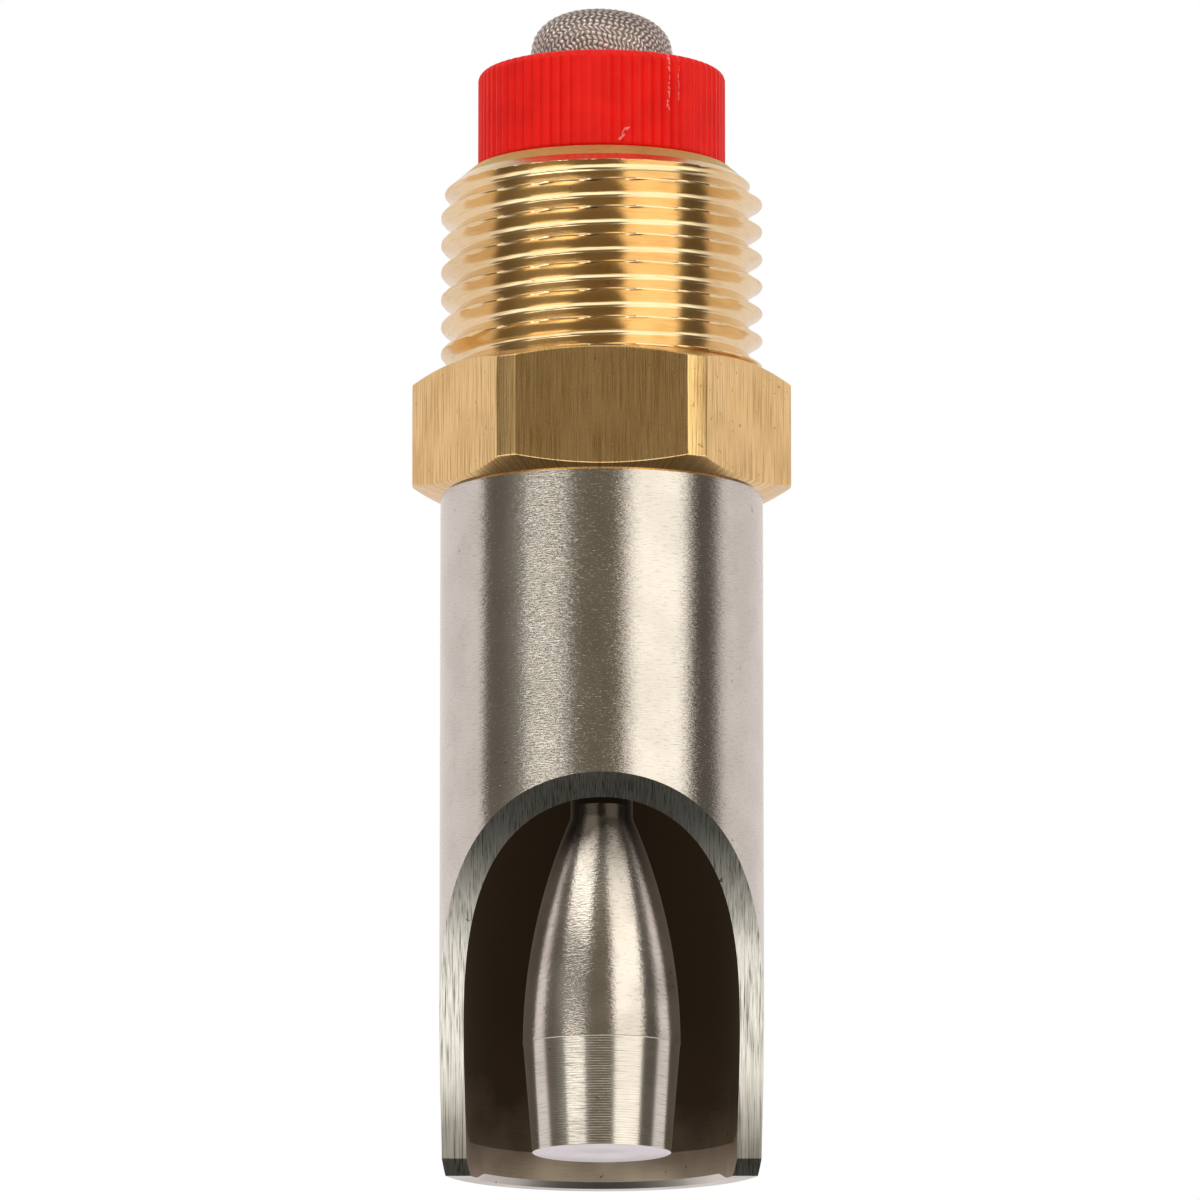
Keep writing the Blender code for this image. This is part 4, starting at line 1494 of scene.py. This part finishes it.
@dataclass
class Studio:
    """A pale floor, four soft boxes, a room that is pale behind and dark in front, and the camera.

    ring holds the room's colour at azimuths in degrees from the front towards +X.
    """

    ring: tuple[tuple[float, Color], ...] = (
        (-180, (0.86, 0.80, 0.79)),
        (-97, (0.86, 0.80, 0.79)),
        (-91, (0.16, 0.14, 0.115)),
        (-76, (0.16, 0.14, 0.115)),
        (-62, (0.27, 0.255, 0.225)),
        (-42, (0.36, 0.34, 0.305)),
        (-28, (0.28, 0.265, 0.23)),
        (-14, (0.185, 0.155, 0.118)),
        (16, (0.185, 0.155, 0.118)),
        (20, (0.30, 0.27, 0.22)),
        (62, (0.30, 0.27, 0.22)),
        (66, (0.10, 0.09, 0.075)),
        (90, (0.13, 0.115, 0.10)),
        (96, (0.86, 0.80, 0.79)),
        (180, (0.86, 0.80, 0.79)),
    )
    low_front: Color = (1.5, 1.46, 1.37)
    ground_behind: Color = (0.09, 0.088, 0.078)
    ground_front: Color = (0.010, 0.011, 0.008)
    ceiling: Color = (0.5, 0.48, 0.44)
    backdrop: Color = (1.0, 1.0, 1.0)
    boxes: tuple[SoftBox, ...] = (
        SoftBox("right_box", 41.2, 18.0, (0.84, 1.25), 1.2),
        SoftBox("left_high_box", -45.0, 47.0, (0.7, 0.6), 2.0),
        SoftBox("left_low_box", -41.0, -4.0, (0.56, 0.21), 1.9),
        SoftBox("front_fill", 0.0, 20.0, (0.8, 0.8), 0.40, shines=False),
    )

    floor_z: float = -1.0
    floor_size: float = 14.0
    target: tuple[float, float, float] = (-0.00011, 0.0, -0.0148)
    elevation_deg: float = -10.2
    frame_width: float = 0.0779
    distance: float = 0.80
    sensor: float = 36.0

    def build_world(self) -> None:
        """Builds the room's light, which is white where the camera looks straight at it.

        The room's brightness is a ramp of the azimuth, which is the arc tangent of x over minus y,
        blended by height with a bright low front, a dark ground and a ceiling.
        """
        world = bpy.data.worlds.new("pale_studio")
        world.use_nodes = True
        bpy.context.scene.world = world
        sketch = NodeSketch(world.node_tree)
        background = world.node_tree.nodes["Background"]
        way = sketch.add("TexCoord").outputs["Generated"]
        x, y, z = sketch.add("SeparateXYZ", {0: way}).outputs[:]
        azimuth = sketch.math("ARCTAN2", x, sketch.math("MULTIPLY", y, -1.0))
        share = sketch.math("MULTIPLY_ADD", azimuth, 1.0 / TURN, 0.5)
        room = sketch.color_ramp(share, [(0.5 + degrees / 360.0, color) for degrees, color in self.ring])
        front = sketch.smooth(y, 0.25, -0.25)
        low = sketch.math("MULTIPLY", sketch.smooth(z, -0.16, -0.36), front)
        room = sketch.mix(low, room, self.low_front)
        under = sketch.mix(front, self.ground_behind, self.ground_front)
        room = sketch.mix(sketch.smooth(z, -0.70, -0.93), room, under)
        room = sketch.mix(sketch.smooth(z, 0.55, 0.85), room, self.ceiling)
        seen = sketch.add("LightPath").outputs["Is Camera Ray"]
        color = sketch.mix(seen, room, self.backdrop)
        sketch.tree.links.new(color, background.inputs["Color"])
        background.inputs["Strength"].default_value = 1.0

    def build_floor(self) -> None:
        """Builds the floor, pale and matt, well below the piece."""
        half = self.floor_size / 2
        corners = [(-half, -half), (half, -half), (half, half), (-half, half)]
        mesh = bpy.data.meshes.new("floor")
        mesh.from_pydata([(x, y, self.floor_z) for x, y in corners], [], [(0, 1, 2, 3)])
        made = bpy.data.materials.new("pale_floor")
        made.use_nodes = True
        shader = made.node_tree.nodes["Principled BSDF"]
        shader.inputs["Base Color"].default_value = (0.9, 0.9, 0.9, 1.0)
        shader.inputs["Roughness"].default_value = 0.9
        mesh.materials.append(made)
        floor = bpy.data.objects.new("floor", mesh)
        floor.visible_glossy = False
        bpy.context.scene.collection.objects.link(floor)

    def build_camera(self) -> None:
        """Places the camera below the piece and in front of it, with a long lens."""
        data = bpy.data.cameras.new("camera")
        data.sensor_width = self.sensor
        data.lens = self.sensor * self.distance / self.frame_width
        data.clip_start, data.clip_end = 0.05, 40.0
        camera = bpy.data.objects.new("camera", data)
        e = math.radians(self.elevation_deg)
        back = Vector((0.0, -math.cos(e), math.sin(e)))
        camera.location = Vector(self.target) + back * self.distance
        camera.rotation_mode = "QUATERNION"
        camera.rotation_quaternion = (-back).to_track_quat("-Z", "Y")
        bpy.context.scene.collection.objects.link(camera)
        bpy.context.scene.camera = camera

    def build(self) -> None:
        """Builds the whole studio and sets how the picture's tones are shown."""
        self.build_world()
        self.build_floor()
        for box in self.boxes:
            box.build()
        self.build_camera()
        bpy.context.scene.view_settings.view_transform = "Standard"


# --------------------------------------------------------------------------------------------------- main


def place(obj: bpy.types.Object, body: Body, slot: str, *nodes: str) -> None:
    """Makes a piece ride on its body and stand for its solids, and reports it.

    Args:
        obj: the piece.
        body: the body it moves with.
        slot: not used.
        nodes: the solids that it stands for.
    """
    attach(obj, body.value)
    if nodes:
        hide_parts(*nodes)
    LOG.info("%s: %d faces, rides on %s", obj.name, len(obj.data.polygons), body.value)


def dress_inner_solids(frame: dict) -> None:
    """Gives the solids inside the valve their own finishes.
    """
    steel = SolidFinish("pressed_steel", (0.62, 0.60, 0.57), (0.45, 0.43, 0.40), 1.0, 0.38).build()
    finishes = {
        "valve_disc": (steel, "inner_steel"),
        "spring_cup": (steel, "inner_steel"),
        "filter_ferrule": (steel, "inner_steel"),
        "return_spring": (
            SolidFinish("spring_wire", (0.66, 0.64, 0.60), (0.50, 0.48, 0.45), 1.0, 0.25).build(),
            "spring_steel",
        ),
        "valve_seal": (
            SolidFinish("seal_rubber", (0.02, 0.02, 0.02), (0.035, 0.034, 0.032), 0.0, 0.7).build(),
            "seal_rubber",
        ),
        "flow_nozzle": (
            SolidFinish("white_acetal", (0.80, 0.79, 0.75), (0.74, 0.73, 0.69), 0.0, 0.42).build(),
            "white_plastic",
        ),
    }
    for node, (finish, slot) in finishes.items():
        solid = frame["nodes"][node]
        solid.data.materials.clear()
        solid.data.materials.append(finish)
        LOG.info("%s: finish %s", node, finish.name)


def main() -> None:
    """Builds every sub-assembly, the studio and the camera."""
    logging.basicConfig(level=logging.INFO, format="%(name)s %(message)s")
    for obj in list(bpy.data.objects):
        bpy.data.objects.remove(obj, do_unlink=True)
    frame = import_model()
    effects = Effects()

    low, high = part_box("brass_body")
    body = BrassBody()
    sleeve = body.build_sleeve(high.z, BRASS_THREAD.build(effects), BRASS_LEAD_IN.build(effects))
    place(sleeve, Body.HOUSING, "brass", "brass_body")
    place(body.build_hexagon(low.z, BRASS_FLATS.build(effects)), Body.HOUSING, "brass", "brass_body")

    low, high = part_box("shield_tube")
    shield = ShieldTube()
    steels = [finish.build(effects) for finish in (SHIELD_OUTSIDE, SHIELD_CUT, SHIELD_INSIDE)]
    tube = shield.build(low, high, steels)
    tube.visible_glossy = False  # bright metal mirrors the painted shade card in its place
    place(tube, Body.HOUSING, "shield_steel", "shield_tube")
    PaintedShadeCard().build(shield, high.x, low.z)

    low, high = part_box("bite_pin")
    steels = [finish.build(effects) for finish in (PIN_OGIVE, PIN_CONE, PIN_END)]
    place(BitePin().build(low, high, steels), Body.PIN, "pin_steel", "bite_pin")

    low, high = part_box("regulator_cap")
    cap = RegulatorCap().build(low, high, RED_ACETAL.build(effects))
    place(cap, Body.REGULATOR, "red_plastic", "regulator_cap")

    low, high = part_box("filter_screen")
    screen = FilterScreen().build(low, high, WOVEN_WIRE.build(effects))
    place(screen, Body.FILTER, "woven_steel", "filter_screen")

    dress_inner_solids(frame)
    Studio().build()


if __name__ == "__main__":
    main()
